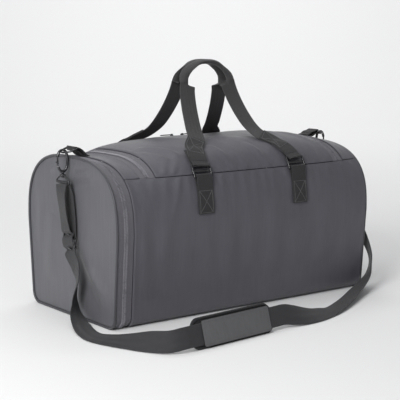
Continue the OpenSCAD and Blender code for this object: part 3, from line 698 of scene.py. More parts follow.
def wall_relief(sign, seed):
    def relief(p, away_from_seam, edge):
        x, z = p[..., 0], p[..., 2]
        above_base = ease((z - 8) / 50)
        out = 2.8 * swell(p, seed) * ease(edge / 40)
        out += folds(sign * x, z, WALL_FOLDS) * ease(edge / 25)
        out = out * above_base + puckers(sign * x, away_from_seam, WALL_PUCKERS) * ease(edge / 6)
        under_tab = np.where(z > 196, held_flat(x), 1.0)
        return np.where(out > 0, out * under_tab, out)
    return relief


def roof_relief(p, away_from_seam, edge):
    x, y = p[..., 0], p[..., 1]
    out = 2.6 * swell(p, 5) * ease(edge / 40) + folds(x, y, ROOF_FOLDS) * ease(edge / 14)
    out += puckers(x, away_from_seam, ROOF_PUCKERS) * ease(edge / 6)
    return np.where(out > 0, out * held_flat(x), out)


def band_relief(p, away_from_seam, edge):
    return 0.8 * swell(p, 9) * ease(edge / 12)


def no_relief(p, away_from_seam, edge):
    return np.zeros(p.shape[:2])


def skin_panel(name, x0, x1, s_low, s_high, material, relief=no_relief, t=PANEL_T, lift=0.0,
               roll=1.5, step=4.5, seam_first=True, lip=0.0):
    """Panel of cloth on the skin with rolled edges; lift moves it off the skin."""
    p, out, along, side = skin_grid(x0, x1, s_low, s_high, step)
    total = along[:, -1:]
    end = np.minimum(along, total - along)
    away = along if seam_first else total - along
    edge = np.minimum(side, end)
    drop = np.minimum(rolled(side, roll) + rolled(end, roll), 0.92 * t)
    raised = lip * (1 - ease((side - LIP_FROM) / LIP_FADE))
    base = lift + relief(p, away, edge) + raised
    height = base - drop
    body = base - t
    verts, faces = closed_grids(p + height[..., None] * out, p + body[..., None] * out)
    flat = np.stack([p[..., 0].ravel(), along.ravel()], 1)
    return make_piece(name, verts, faces, material, np.concatenate([flat, flat]))


def sewn_row(name, points, out, lift):
    """Row of stitches along a line on the skin."""
    direction, at, up = evenly(points, ROW_PITCH, 3, 3, extra=(out,))
    return capsules(name, at + unit(up) * lift, direction, ROW_PITCH * 0.42, 0.32, "grey_thread")


def long_row(s_of_x, x0, x1, steps=160):
    """Line along the bag at a section place that depends on x, with outward directions."""
    points, outs = [], []
    for x in np.linspace(x0, x1, steps):
        s = float(s_of_x(x))
        p, out = skin_line(x, s - 0.02, s + 0.02, 5)
        points.append(p[len(p) // 2])
        outs.append(out[len(p) // 2])
    return np.array(points), np.array(outs)


FOOT, REAR_FOOT = 1.02, 6.98                 # section places just above the base
SEW = 0.003                                  # gap in s from the seam to a cloth sewn to it
LIP, LIP_FROM, LIP_FADE = 0.8, 5.5, 2.5      # how far a folded edge stands up, and how wide


def fixed(s):
    """The same section place all along the bag."""
    return lambda x: s + 0 * x


def above_seam(x):
    return s_seam(x) + SEW


def build_walls():
    walls = (("front", fixed(FOOT), lambda x: s_seam(x) - SEW, 1, 3),
             ("rear", lambda x: 8 - s_seam(x) + SEW, fixed(REAR_FOOT), -1, 4))
    for label, low, high, sign, seed in walls:
        wall = skin_panel(f"{label}_wall", STRIP_X + 0.3, EDGE_X, low, high, "shell",
                          wall_relief(sign, seed), seam_first=label == "rear", lip=LIP)
        stands_for(wall, "bag", [f"{label}_panel"])
    base = skin_panel("base_cloth", -EDGE_X, EDGE_X, fixed(7.02), fixed(8.98), "inside", step=20)
    stands_for(base, "bag", ["bottom_panel"])


def build_roof():
    def high(x):
        return 8 - s_seam(x) - SEW

    for label, x0, x1 in (("left", STRIP_X + 0.3, LID_LEFT - TAPE_HALF - 0.3),
                          ("right", LID_RIGHT + TAPE_HALF + 0.3, EDGE_X)):
        band = skin_panel(f"roof_band_{label}", x0, x1, above_seam, high, "shell", band_relief,
                          step=4, lip=LIP)
        stands_for(band, "bag", [f"top_band_{label}"])
    rear = skin_panel("roof_strip_rear", LID_LEFT - TAPE_HALF, LID_RIGHT + TAPE_HALF,
                      lambda x: s_behind(x, LID_REAR + TAPE_HALF) + 0.002, high, "shell",
                      band_relief)
    stands_for(rear, "bag", ["top_strip_rear"])


def hinge_seam(piece):
    """The lid's cloth stays sewn to the wall at the seam: the piece is taken off its body, with its
    place baked into its points.
    """
    y, z = section(0.0, float(s_seam(0.0)))
    y2, z2 = section(0.0, float(s_seam(0.0)) + 0.05)
    piece.parent = None
    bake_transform(piece)


def build_lid():
    lid = skin_panel("lid_cloth", LID_LEFT + TAPE_HALF, LID_RIGHT - TAPE_HALF,
                     above_seam, lambda x: s_behind(x, LID_REAR - TAPE_HALF) - 0.003,
                     "shell", roof_relief, lip=LIP)
    stands_for(lid, "lid", ["lid_panel"])
    hinge_seam(lid)


ZIP_LIFT = -1.5                              # the tapes lie under the skin
COIL_PITCH, COIL_OFFSET, COIL_LIFT = 2.8, 2.4, -0.9


def zip_tape(name, x0, x1, low, high, step):
    # The tape material's lighter colour is a painted highlight.
    return skin_panel(name, x0, x1, low, high, "tape", t=TAPE_T, lift=ZIP_LIFT, roll=0.5,
                      step=step)


def zip_tapes(name, d0, d1, body, node):
    """Half of the lid's zip: strips between the distances d0 and d1 outside the zip line."""
    for label, x, sign in (("left", LID_LEFT, -1), ("right", LID_RIGHT, 1)):
        x0, x1 = sorted((x + sign * d0, x + sign * d1))
        side = zip_tape(f"{name}_{label}", x0, x1, above_seam,
                        lambda x: s_behind(x, LID_REAR + d0) - 0.002, 4.5)
        stands_for(side, body)
        if body == "lid":
            hinge_seam(side)
    rear = zip_tape(f"{name}_rear", LID_LEFT - d1, LID_RIGHT + d1,
                    lambda x: s_behind(x, LID_REAR + d0), lambda x: s_behind(x, LID_REAR + d1), 6)
    stands_for(rear, body, [node])


def coil_row(name, points, out, across, body, nodes, offset):
    """Turns of a zip coil: short slanted rods on one side of the zip line."""
    start = 2 + (COIL_PITCH / 2 if offset > 0 else 0)
    direction, at, up, side = evenly(points, COIL_PITCH, start, 2, extra=(out, across))
    centres = at + side * offset + unit(up) * COIL_LIFT
    # The coil material's light colour is a painted highlight.
    turns = capsules(name, centres, side + 0.22 * direction, 2.3, 0.88, "coil")
    return stands_for(turns, body, nodes)


def row_across(points, out):
    return unit(np.cross(unit(np.gradient(points, axis=0)), out))


def build_zips():
    half = TAPE_HALF - 0.3
    zip_tapes("body_tape", 0.5, half, "bag", "body_zip_tape")
    zip_tapes("lid_tape", -half, -0.5, "lid", "lid_zip_tape")
    for label, x0, x1 in (("outer", -EDGE_X, END_ZIP_X - 0.5), ("inner", END_ZIP_X + 0.5, STRIP_X)):
        tape = zip_tape(f"end_tape_{label}", x0, x1, fixed(FOOT), fixed(REAR_FOOT), 4.5)
        stands_for(tape, "bag", [f"end_zip_tape_{label}"])
    p, out = skin_line(END_ZIP_X, 1.05, 6.95)
    across = row_across(p, out)
    coil_row("end_coil_outer", p, out, across, "bag", ["end_zip_coil"], -COIL_OFFSET)
    coil_row("end_coil_inner", p, out, across, "bag", (), COIL_OFFSET)
    rows = []
    for label, x, outward in (("left", LID_LEFT, -1), ("right", LID_RIGHT, 1)):
        line = skin_line(x, float(s_seam(x)) + 0.01, float(s_behind(x, LID_REAR)))
        rows.append((label, *line, (outward, 0, 0)))
    rows.append(("rear", *long_row(lambda x: s_behind(x, LID_REAR), LID_LEFT, LID_RIGHT),
                 (0, 1.0, -0.3)))
    for body, node, offset in (("bag", "body_zip_coil", COIL_OFFSET),
                               ("lid", "lid_zip_coil", -COIL_OFFSET)):
        for label, p, out, outward in rows:
            across = row_across(p, out)
            across = across * np.sign(np.sum(across * np.array(outward), 1, keepdims=True))
            turns = coil_row(f"{body}_coil_{label}_row", p, out, across, body,
                             [node] if label == "rear" else (), offset)
            if body == "lid" and label != "rear":
                hinge_seam(turns)


def build_strip_seams():
    """Topstitched folds beside the zips."""
    lift = 1.0
    rows = []
    for i, x in enumerate((STRIP_X + 2.8, -EDGE_X + 3.0, STRIP_X - 2.6)):
        rows.append((f"end_strip_stitches_{i}", x, 1.06, 6.94, "bag",
                     -1.35 if x < STRIP_X else lift))
    for name, sign, start, beyond, body in (("lid_frame_stitches", 1, 0.01, 20, "bag"),
                                            ("lid_stitches", -1, 0.06, -20, "lid")):
        for label, x, outward in (("left", LID_LEFT, -1), ("right", LID_RIGHT, 1)):
            x += sign * outward * TAPE_HALF
            x += sign * outward * 2.8
            rows.append((f"{name}_{label}", x, float(s_seam(x)) + start,
                         float(s_behind(x, LID_REAR + beyond)), body, lift))
    for name, x, low, high, body, height in rows:
        stands_for(sewn_row(name, *skin_line(x, low, high), height), body)


END_FOLDS = [
    (-12, 298, -66, 314, 7, 2.0), (-8, 284, -84, 296, 9, 1.3), (18, 318, 78, 284, 9, 1.2),
    (-26, 160, -132, 36, 17, 2.2), (-10, 190, -100, 110, 20, 1.2), (-70, 110, -140, 60, 10, 1.2),
    (70, 200, 90, 60, 22, 1.2), (120, 250, 126, 110, 16, 1.0),
]


def end_panel(name, x, sign, material, bulge, seed, inset, t, folded=True):
    """Flat-sewn end panel that swells a little and creases where it is pulled."""
    round_steps, rings = 220, 46
    fine, out = skin_line(x, 0, 8, 4000)
    run = lengths(fine)
    at = np.linspace(0, run[-1], round_steps, endpoint=False)
    rim = read_at(at, run, fine) - inset * unit(read_at(at, run, out))
    centre = np.array([x, 0, 168.0])
    share = np.concatenate([np.linspace(0.02, 0.97, rings), [0.982, 0.99, 0.996, 1.0]])
    p = centre + share[:, None, None] * (rim - centre)[None]
    depth = (1 - share) * 150
    lift = bulge * (1 - share ** 2)[:, None] + 1.2 * swell(p, seed) * ease(depth / 40)[:, None]
    if folded:
        lift = lift + folds(p[..., 1], p[..., 2], END_FOLDS) * ease(depth / 18)[:, None]
    lift = lift - rolled(depth, 1.4)[:, None]
    outer = p + sign * lift[..., None] * ALONG_X
    back = lift - np.maximum(t - rolled(depth, 1.4), 0.2)[:, None]
    inner = p + sign * back[..., None] * ALONG_X
    verts = np.concatenate([outer.reshape(-1, 3), inner.reshape(-1, 3)])
    faces = shell_faces(*outer.shape[:2], sign)
    flat = np.stack([verts[:, 1], verts[:, 2]], 1)
    return make_piece(name, verts, faces, material, flat)


def build_ends():
    inset = PIPE_IN + PIPE_R - 0.6
    for label, sign, bulge, seed in (("left", -1, 2.0, 21), ("right", 1, 3.0, 22)):
        # The end material is painted lighter than the shell: painted light.
        cloth = end_panel(f"end_cloth_painted_light_{label}", sign * HALF_L, sign, "end", bulge, seed, inset,
                          PANEL_T)
        stands_for(cloth, "bag", [f"{label}_end_panel"])
    divider = end_panel("divider_cloth", STRIP_X + 1.0, 1, "inside", 1.0, 23, 4.2, 0.9, False)
    stands_for(divider, "bag", ["divider_panel"])
    for label, x in (("left", -HALF_L - 1), ("right", HALF_L + 1)):
        p, out = skin_line(x, 0, 8, 4000)
        _, at, up = evenly(p, 4.0, extra=(out,))
        cord = tube(f"piping_{label}", at - PIPE_IN * unit(up), PIPE_R, "piping", 12, True, ALONG_X)
        stands_for(cord, "bag", [f"{label}_piping"])


build_walls()
build_roof()
build_lid()
build_zips()
build_strip_seams()
build_ends()

# ---------------------------------------------------------------- handles, tabs, buckles

HANDLE_W, WEB_T = 38.0, 2.2
HANDLE_STEPS = 8                             # points of the handle's line from knot to knot
SEWN_FROM, LAP_END = 10.9, 14.1              # knots between which its end is sewn to the leg
BAR_R, BAR_PITCH = 1.9, 11.0
WRAP_R = BAR_R + 0.35 + WEB_T / 2
BAR_LIFT = WRAP_R + WEB_T / 2 + 1.2
GRIP_Y, GRIP_Z = 10.0, 502.0


def middle_point(angle, off):
    """Point on the upper curve of the bag's middle section, moved outwards by off."""
    s = 3 + angle * 2 / math.pi
    p, out = skin_line(0.0, s - 0.004, s + 0.004, 5)
    return p[2] + off * out[2]


def front_point(z, off):
    """Point on the front at a height, moved outwards by off."""
    share = (z - WALL_H) / (float(ridge(0.0)) - WALL_H)
    return middle_point(math.asin(share ** (float(boxy(0.0)) / 2)), off)


def roof_point(y, off):
    """Point on the front half of the roof at the place y, moved outwards by off."""
    return middle_point(math.acos((-y / HALF_W) ** (float(boxy(0.0)) / 2)), off)


PIVOT = front_point(SEAM_H - 5, BAR_LIFT)
BUCKLE_DIR = unit(front_point(SEAM_H + 11.5, BAR_LIFT + 0.9) - PIVOT)
BUCKLE_OUT = np.cross(ALONG_X, BUCKLE_DIR)
TOP_BAR = PIVOT + 2 * BAR_PITCH * BUCKLE_DIR
OUT_ANGLE = math.atan2(BUCKLE_OUT[2], BUCKLE_OUT[1])


def half_turn(centre, radius, start, sign, steps=8):
    """Half a turn round a bar, in the plane across the bag."""
    a = start + sign * math.pi * np.arange(steps + 1) / steps
    return centre + radius * np.stack([0 * a, np.cos(a), np.sin(a)], 1)


def mirrored(points, side):
    """Points of the front of the bag, moved to the side they are wanted on."""
    return points * np.array([1, -1 if side == "rear" else 1, 1])


def buckle_x(end):
    return HANDLE_X + (BUCKLE_X if end == "right" else -BUCKLE_X)


def grip_section(q, fold, width, t):
    """Middle line of the webbing's section: flat at fold 0, closed over itself at fold 1."""
    reach = np.abs(q) * width / 2
    bulge = 2.7 * fold * np.sin(math.pi * np.abs(q))
    turned = math.pi * fold
    e = np.where(q >= 0, reach, -reach * math.cos(turned))
    n = np.where(q >= 0, bulge, -reach * math.sin(turned) - fold * 1.1 * t - bulge)
    return np.stack([e, n], 1)


def handle_line():
    """Left half of the front handle: points, directions of the width, and how folded it is."""
    lap_low = WEB_T / 2 + 1.2
    lap_high = lap_low + WEB_T + 0.2
    low = [np.array([-(BUCKLE_X - (y + 142) * 0.28), *roof_point(y, lap_low)[1:]])
           for y in (-116, -130)]
    turn = half_turn(TOP_BAR, WRAP_R, OUT_ANGLE + math.pi, 1)
    turn[:, 0] = -BUCKLE_X
    high = [np.array([-(BUCKLE_X - (y + 142) * 0.5), *roof_point(y, lap_high)[1:]])
            for y in (-132, -118, -104)]
    free = [(-84, -87, 351), (-75, -66, 368), (-68, -47, 392), (-62, -31, 418), (-57, -20, 442)]
    grip = [(-53, -GRIP_Y - 6, 459), (-52, -GRIP_Y - 4, 474), (-45, -GRIP_Y - 2, 488),
            (-31, -GRIP_Y - 1, 499), (-15, -GRIP_Y, GRIP_Z + 2), (0, -GRIP_Y, GRIP_Z + 3)]
    knots = np.array([*low, *turn, *high, *free, *grip], float)
    line = smooth_line(knots, HANDLE_STEPS)
    place = np.arange(len(line)) / HANDLE_STEPS
    leg_end = len(low) + len(turn) + len(high) + len(free) - 1
    fold = ease((place - leg_end - 0.7) / 0.6)
    turn_by = ease((place - leg_end - 0.9) / 4.4) * math.pi / 2
    widths = np.stack([-np.cos(turn_by), np.sin(turn_by), 0 * turn_by], 1)
    return line, widths, fold, turn_by


def build_handle(side):
    line, widths, fold, turn_by = handle_line()
    u, v = ribbon_frames(line, widths)
    line = line - u * (HANDLE_W / 4 * fold * np.sin(turn_by))[:, None]
    q = np.concatenate([-1 + np.array([0, 0.01, 0.04, 0.1]), np.linspace(-0.8, 0.8, 17),
                        1 - np.array([0.1, 0.04, 0.01, 0])])
    sections = np.array([thick_outline(grip_section(q, f, HANDLE_W, WEB_T), WEB_T) for f in fold])
    places = np.concatenate([q, q[::-1]])[None] * HANDLE_W / 2
    body = f"{side}_handle"
    sewn, lap_end = int(SEWN_FROM * HANDLE_STEPS), int(LAP_END * HANDLE_STEPS)
    overlay = line + v * (WEB_T + 0.05) * ease((np.arange(len(line)) - sewn + 5) / 6)[:, None]
    parts = (("lap", line, slice(0, sewn + 1), "loop"), ("grip", line, slice(sewn, None), "handle"),
             ("overlap", overlay, slice(sewn - 3, lap_end), "loop"))
    for label, sign in (("left", 1), ("right", -1)):
        scale = np.array([sign, -1 if side == "rear" else 1, 1])
        for part, path, span, material in parts:
            piece = swept(f"{side}_{part}_{label}", path[span] * scale + [HANDLE_X, 0, 0],
                          (u[span] * scale, v[span] * scale), sections[span], material, places)
            if sign * scale[1] < 0:
                piece.data.flip_normals()
            stands_for(piece, body,
                       [body] if (part, label) == ("grip", "left") else ())
        x_box(f"{side}_handle_box_{label}", overlay * scale + [HANDLE_X, 0, 0], u * scale,
              v * scale, (11.5, 13.8), HANDLE_STEPS, body)


def x_box(name, line, u, v, span, steps, body):
    """Stitched box with a cross in it, on the outer face of a strip, between two knots."""
    a, b = int(span[0] * steps), int(span[1] * steps)
    half = HANDLE_W / 2 - 3.5
    face = WEB_T / 2 + 0.15
    run = lengths(line)

    def at(share, across):
        p, side, up = (read_at(run[a] + share * (run[b] - run[a]), run, q) for q in (line, u, v))
        return p + side * across[:, None] + up * face

    t = np.linspace(0, 1, 30)
    strokes = [(t, -half + 0 * t), (t, half + 0 * t), (0 * t, half * (2 * t - 1)),
               (1 + 0 * t, half * (2 * t - 1)), (t, half * (2 * t - 1)), (t, half * (1 - 2 * t))]
    centres, axes = [], []
    for share, across in strokes:
        direction, place = evenly(at(share, across), 3.0, 0.5, 0.5)
        centres.append(place)
        axes.append(direction)
    box = capsules(name, np.concatenate(centres), np.concatenate(axes), 1.25, 0.5, "box_thread")
    stands_for(box, body)


def build_tab(side, end):
    inner_off = WEB_T / 2 + 0.2
    outer_off = inner_off + WEB_T + 0.15
    heights = [211, 225, 240, 256, SEAM_H - 16]
    outer = [front_point(z, outer_off + (3 if z > 270 else 0)) for z in heights]
    outer[0] = front_point(heights[0], outer_off - 1.2)
    turn = half_turn(PIVOT, WRAP_R, OUT_ANGLE, -1)
    inner = [front_point(z, inner_off) for z in heights[:0:-1]]
    knots = np.array([*outer, *turn, *inner])
    line = smooth_line(knots, 6)
    line = mirrored(line, side) + [buckle_x(end), 0, 0]
    piece, (u, v) = webbing_strip(f"{side}_tab_cloth_{end}", line, ALONG_X, HANDLE_W, WEB_T, "loop")
    stands_for(piece, "bag", [f"{side}_tab_{end}"])
    outward = np.sign(v[3, 1]) * (1 if side == "rear" else -1)
    x_box(f"{side}_tab_box_{end}", line, u, v * outward, (0.25, 3.1), 6, "bag")


def rounded_bar(length, wide, thick, sides=16):
    """Rod of oval section along X with rounded ends: points and faces."""
    a = circle(sides)
    rings = [(-0.5, 0.7), (-0.48, 0.95), (-0.45, 1), (0.45, 1), (0.48, 0.95), (0.5, 0.7)]
    verts = [(share * length, size * wide / 2 * math.cos(k), size * thick / 2 * math.sin(k))
             for share, size in rings for k in a]
    return np.array(verts), ring_faces(len(rings), sides)


def rounded_block(size, at, radius):
    """Block with rounded edges, as a superellipsoid-like grid: points and faces."""
    n = 14
    a = np.linspace(-math.pi / 2, math.pi / 2, n)
    b = np.linspace(-math.pi, math.pi, 2 * n, endpoint=False)
    half = np.array(size) / 2 - radius
    verts = []
    for latitude in a:
        for longitude in b:
            d = np.array([math.cos(latitude) * math.cos(longitude),
                          math.cos(latitude) * math.sin(longitude), math.sin(latitude)])
            corner = np.sign(np.round(d, 6)) * half
            verts.append(at + corner + radius * d)
    return np.array(verts), ring_faces(n, len(b))


def joined(parts):
    verts, faces, base = [], [], 0
    for v, f in parts:
        verts.append(v)
        faces += [tuple(base + i for i in face) for face in f]
        base += len(v)
    return np.concatenate(verts), faces


def build_buckle(side, end):
    """Moulded ladder-lock: two arms and three flat bars."""
    inner = HANDLE_W / 2 + 0.8
    arm_w = 3.4
    parts = []
    for x in (-1, 1):
        parts.append(rounded_block((arm_w, 2 * BAR_PITCH + 5.6, 4.4),
                                   np.array([x * (inner + arm_w / 2), BAR_PITCH, 0]), 1.3))
    for y, wide, thick in ((0, 4.0, 3.8), (BAR_PITCH, 5.0, 3.4), (2 * BAR_PITCH, 4.0, 3.8)):
        bar, faces = rounded_bar(2 * inner + 2, wide, thick)
        parts.append((bar + np.array([0, y, 0]), faces))
    verts, faces = joined(parts)
    place = (verts[:, :1] * ALONG_X + verts[:, 1:2] * BUCKLE_DIR
             + verts[:, 2:] * BUCKLE_OUT + PIVOT)
    place = mirrored(place, side)
    place[:, 0] += buckle_x(end)
    piece = make_piece(f"{side}_ladderlock_{end}", place, faces, "plastic")
    if side == "rear":
        piece.data.flip_normals()
    stands_for(piece, f"{side}_handle", [f"{side}_buckle_{end}"])


for side_name in ("front", "rear"):
    build_handle(side_name)
    for end_name in ("left", "right"):
        build_tab(side_name, end_name)
        build_buckle(side_name, end_name)

# ---------------------------------------------------------------- rings, hooks and eyes

RING_BAR = np.array([-321.0, 0, 339.0])
RING_WIRE, RING_HALF = 2.0, 17.0
HOOK_X, HOOK_Z = -343.0, 316.0
HOOK_HALF_W, HOOK_HALF_H, HOOK_WIRE = 13.5, 23.5, 2.2
EYE_Z = 272.0


def at_end(points, end):
    return np.asarray(points, float) * np.array([1 if end == "left" else -1, 1, 1])


def metal(name, line, radius, sides, end, body, nodes=(), closed=False, up=(0, 0, 1)):
    """Round metal along a line that is given as it is at the left end of the bag."""
    piece = tube(f"{name}_{end}", at_end(line, end), radius, "gunmetal", sides, closed, up)
    stands_for(piece, body, nodes)


def build_ring_tab(end):
    r = RING_WIRE + 0.5 + WEB_T / 2
    sign = 1 if end == "left" else -1

    def roof(x):
        return float(ridge(sign * x))

    a = np.radians(105 + 180 * np.arange(9) / 8)
    turn = RING_BAR + r * np.stack([np.cos(a), 0 * a, np.sin(a)], 1)
    knots = [(-290, 0, roof(-290) + 3.8), (-296, 0, roof(-296) + 6), (-304, 0, roof(-304) + 12.5),
             (-312, 0, RING_BAR[2] + 0.4), *turn, (-312, 0, roof(-312) + 8),
             (-305, 0, roof(-305) + 3.6), (-294, 0, roof(-294) + 1.4)]
    line = at_end(smooth_line(knots, 5), end)
    piece, _ = webbing_strip(f"ring_tab_cloth_{end}", line, ALONG_Y, 2 * RING_HALF - 3, WEB_T,
                             "loop")
    stands_for(piece, "bag", [f"ring_tab_{end}"])


def build_d_ring(end):
    """One bent wire: straight bar, two short arms and a round bow."""
    slope = math.radians(17)
    bow = RING_HALF + RING_WIRE
    a = np.linspace(-math.pi / 2, math.pi / 2, 33)
    flat = [(0.0, -bow + 2.5), (0.7, -bow + 0.7), (2.5, -bow)]
    flat += [(4 + bow * math.cos(k), bow * math.sin(k)) for k in a]
    flat += [(2.5, bow), (0.7, bow - 0.7), (0.0, bow - 2.5)]
    flat += [(0.0, y) for y in np.linspace(bow - 6, -bow + 6, 9)]
    flat = np.array(flat)
    line = RING_BAR + np.stack([-flat[:, 0] * math.cos(slope), flat[:, 1],
                                -flat[:, 0] * math.sin(slope)], 1)
    metal("d_ring_wire", line, RING_WIRE, 12, end, f"ring_{end}", [f"d_ring_{end}"], True,
          (math.sin(slope) * (-1 if end == "left" else 1), 0, math.cos(slope)))


def build_hook(end):
    """Cast snap hook: an oval ring with a gap for its gate, on a swivel post."""
    half_w, half_h = HOOK_HALF_W - HOOK_WIRE, HOOK_HALF_H - HOOK_WIRE
    a = np.radians(np.linspace(-148, 158, 60))
    oval = np.stack([HOOK_X + half_w * np.sign(np.cos(a)) * np.abs(np.cos(a)) ** 0.8, 0 * a,
                     HOOK_Z + half_h * np.sin(a)], 1)
    thick = HOOK_WIRE + 0.8 * np.abs(np.cos(a)) + 0.6 * np.exp(-((a + 1.6) / 0.5) ** 2)
    hook = f"hook_{end}"
    metal("hook_ring", oval, thick, 14, end, hook, [f"snap_hook_{end}"], up=ALONG_Y)
    post_z = HOOK_Z - half_h
    profile = [(0, 3.4), (-2.0, 3.9), (-3.4, 3.0), (-4.2, 2.3), (-9.4, 2.3), (-9.8, 3.4),
               (-11.0, 3.7), (-12.0, 3.0), (-12.4, 1.0)]
    line = np.array([(HOOK_X, 0, post_z + z) for z, _ in profile])
    metal("hook_post", line, [r for _, r in profile], 16, end, hook, up=ALONG_Y)
    gate_x = HOOK_X - HOOK_HALF_W + HOOK_WIRE
    rows = [(-9.0, 1.9), (-7.6, 2.2), (-4, 1.9), (4, 1.7), (9.0, 1.7), (10.2, 1.2)]
    line = np.array([(gate_x + 0.35 * (z / 9) ** 2, 0, HOOK_Z + z) for z, _ in rows])
    gate = f"gate_{end}"
    metal("hook_gate_bar", line, [r for _, r in rows], 12, end, gate, [f"hook_gate_{end}"],
          up=ALONG_Y)
    stud_line = [(gate_x - d, 0, HOOK_Z - 2.0) for d in (0, 2.6, 3.8, 4.2)]
    metal("gate_stud", stud_line, [1.3, 1.3, 1.1, 0.5], 12, end, gate)


def build_eye(end):
    """Cast eye: a bar for the strap, two sloping arms and a collar round the hook's post."""
    half = [(4.6, 287.4), (9, 285.6), (15, 282.4), (20.5, 279), (23, 275.6), (22.4, EYE_Z + 0.4),
            (19, EYE_Z)]
    arms = [(HOOK_X, y, z) for y, z in half] + [(HOOK_X, -y, z) for y, z in half[::-1]]
    metal("strap_loop", smooth_line(arms, 6), 1.8, 12, end, "bag", [f"strap_eye_{end}"],
          up=ALONG_X)
    a = circle(24)
    ring = np.stack([HOOK_X + 4.4 * np.cos(a), 4.4 * np.sin(a), 287.8 + 0 * a], 1)
    metal("eye_collar", ring, 1.6, 10, end, "bag", closed=True)


def softened(node, name, material, body, voxel, passes=3):
    """Cast or moulded copy of a CAD node: remeshed finely, with its sharp edges rounded."""
    piece = add_object(name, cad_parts[node].data.copy())
    remesh = piece.modifiers.new("round", "REMESH")
    remesh.mode = "VOXEL"
    remesh.voxel_size = voxel * MM
    smooth = piece.modifiers.new("soften", "SMOOTH")
    smooth.factor = 0.5
    smooth.iterations = passes
    seen = bpy.context.evaluated_depsgraph_get()
    mesh = bpy.data.meshes.new_from_object(piece.evaluated_get(seen), depsgraph=seen)
    piece.modifiers.clear()
    piece.data = mesh
    smoothed(mesh)
    paint(mesh, material)
    return stands_for(piece, body, [node])


for end_name in ("left", "right"):
    build_ring_tab(end_name)
    build_d_ring(end_name)
    build_hook(end_name)
    build_eye(end_name)
    for kind in ("slider", "pull"):
        softened(f"lid_zip_{kind}_{end_name}", f"lid_{kind}_{end_name}_cast", "enamel",
                 f"lid_{kind}_{end_name}", 0.3)
for kind in ("slider", "pull"):
    softened(f"end_zip_{kind}", f"end_{kind}_cast", "enamel", f"end_{kind}", 0.3)
softened("strap_adjuster", "strap_slide", "gunmetal", "bag", 0.45)
softened("base_board", "stiff_board", "board", "bag", 1.4, 1)

for end_name in ("left", "right"):
    paint(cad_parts[f"gate_pin_{end_name}"].data, "steel")

# ---------------------------------------------------------------- shoulder strap

STRAP_W, STRAP_T = 40.0, 2.2
PAD_DIR = unit(np.array([1, 0.1, 0]))
PAD_MID = np.array([-178, -343, 27.5])
PAD_UP = unit(np.array([-0.03, 0.26, 0.965]))
PAD_L, PAD_W, PAD_BASE_T, PAD_COVER_T = 200.0, 54.0, 8.0, 2.4


def along_pad(d):
    return (*(PAD_MID + d * PAD_DIR), *PAD_UP)


# Each row is a point of the strap's middle line and the direction of its width there
ROUTE = np.array([
    (-346.4, 0, 270, 0, 1, 0), (-349, -2, 250, 0.12, 1, 0), (-348, -7, 215, 0.2, 1, 0),
    (-346.5, -13, 182, 0.12, 1, -0.1), (-345.5, -18, 157, 0, 1, -0.2),
    (-345, -28, 134, 0, 1, -0.3), (-343, -41, 114, 0.1, 1, -0.2),
    (-344, -50, 90, 0.35, 0.93, 0), (-345, -46, 66, 0.6, 0.79, 0),
    (-345, -41, 45, 0.68, 0.72, -0.1), (-345, -46, 28, 0.75, 0.45, -0.45),
    (-350, -63, 14, 0.85, 0, -0.42), (-361, -92, 7, 0.93, -0.25, -0.2),
    (-373, -124, 4, 0.98, -0.2, -0.04), (-382, -157, 3.6, 1, 0, 0.05),
    (-385, -190, 5.4, 0.98, 0.1, 0.15), (-376, -228, 8.4, 0.93, 0.2, 0.3),
    (-363, -268, 13.2, 0.8, 0.25, 0.55), (-350, -310, 18.8, 0.43, 0.3, 0.85),
    (-332, -345, 23, 0.1, 0.2, 0.97),
    along_pad(-128), along_pad(-100), along_pad(0), along_pad(100), along_pad(128),
    (-22, -329, 22, 0.02, 0.45, 0.88), (12, -326, 15.4, 0.05, 0.72, 0.68),
    (46, -319, 10.8, -0.08, 0.88, 0.45), (82, -307, 7.6, -0.19, 0.94, 0.27),
    (122, -290, 6, -0.42, 0.9, -0.05), (170, -265, 7.5, -0.46, 0.87, -0.2),
    (218, -237, 9.5, -0.45, 0.85, -0.28), (262, -211, 14, -0.4, 0.84, -0.36),
    (301, -191, 23, -0.2, 0.85, -0.48), (330, -178, 41, 0.42, 0.79, -0.45),
    (346, -168, 66, 0.54, 0.74, -0.4), (352, -150, 94, 0.45, 0.85, -0.2),
    (355, -122, 122, 0.2, 0.9, -0.3), (354, -88, 152, 0, 0.9, -0.4),
    (351, -52, 190, 0, 1, -0.3), (349.5, -21, 224, 0, 1, -0.2),
    (347.4, -3, 248, 0, 1, 0), (346.4, 0, 270, 0, 1, 0),
])
ADJUSTER_Z = 157.0


def weave(points):
    """Takes the strap behind the adjuster's outer bars and over its middle bar."""
    z = points[:, 2]
    near = (points[:, 0] < -300) & (z > 120)
    over = np.exp(-((z - ADJUSTER_Z) / 7.0) ** 2)
    behind = sum(np.exp(-((z - ADJUSTER_Z - d) / 4.6) ** 2) for d in (-13.6, 13.6))
    moved = points.copy()
    moved[:, 0] += np.where(near, 7.0 * behind + 0.5 * over, 0)
    return moved


def eye_turn(last):
    """The strap's turn round the bar of the left eye, as far as an angle."""
    a = np.radians(165 + (last - 165) * np.arange(9) / 8)
    r = 1.8 + 0.3 + STRAP_T / 2
    return np.array([HOOK_X, 0, EYE_Z]) + r * np.stack([np.cos(a), 0 * a, np.sin(a)], 1)


def strap_layer(name, points, end, node):
    """A second layer of the strap, below the eye at one end of the bag."""
    line = at_end(smooth_line(points, 5), end)
    layer, _ = webbing_strip(name, line, ALONG_Y, STRAP_W, STRAP_T, "strap")
    stands_for(layer, "bag", [node])


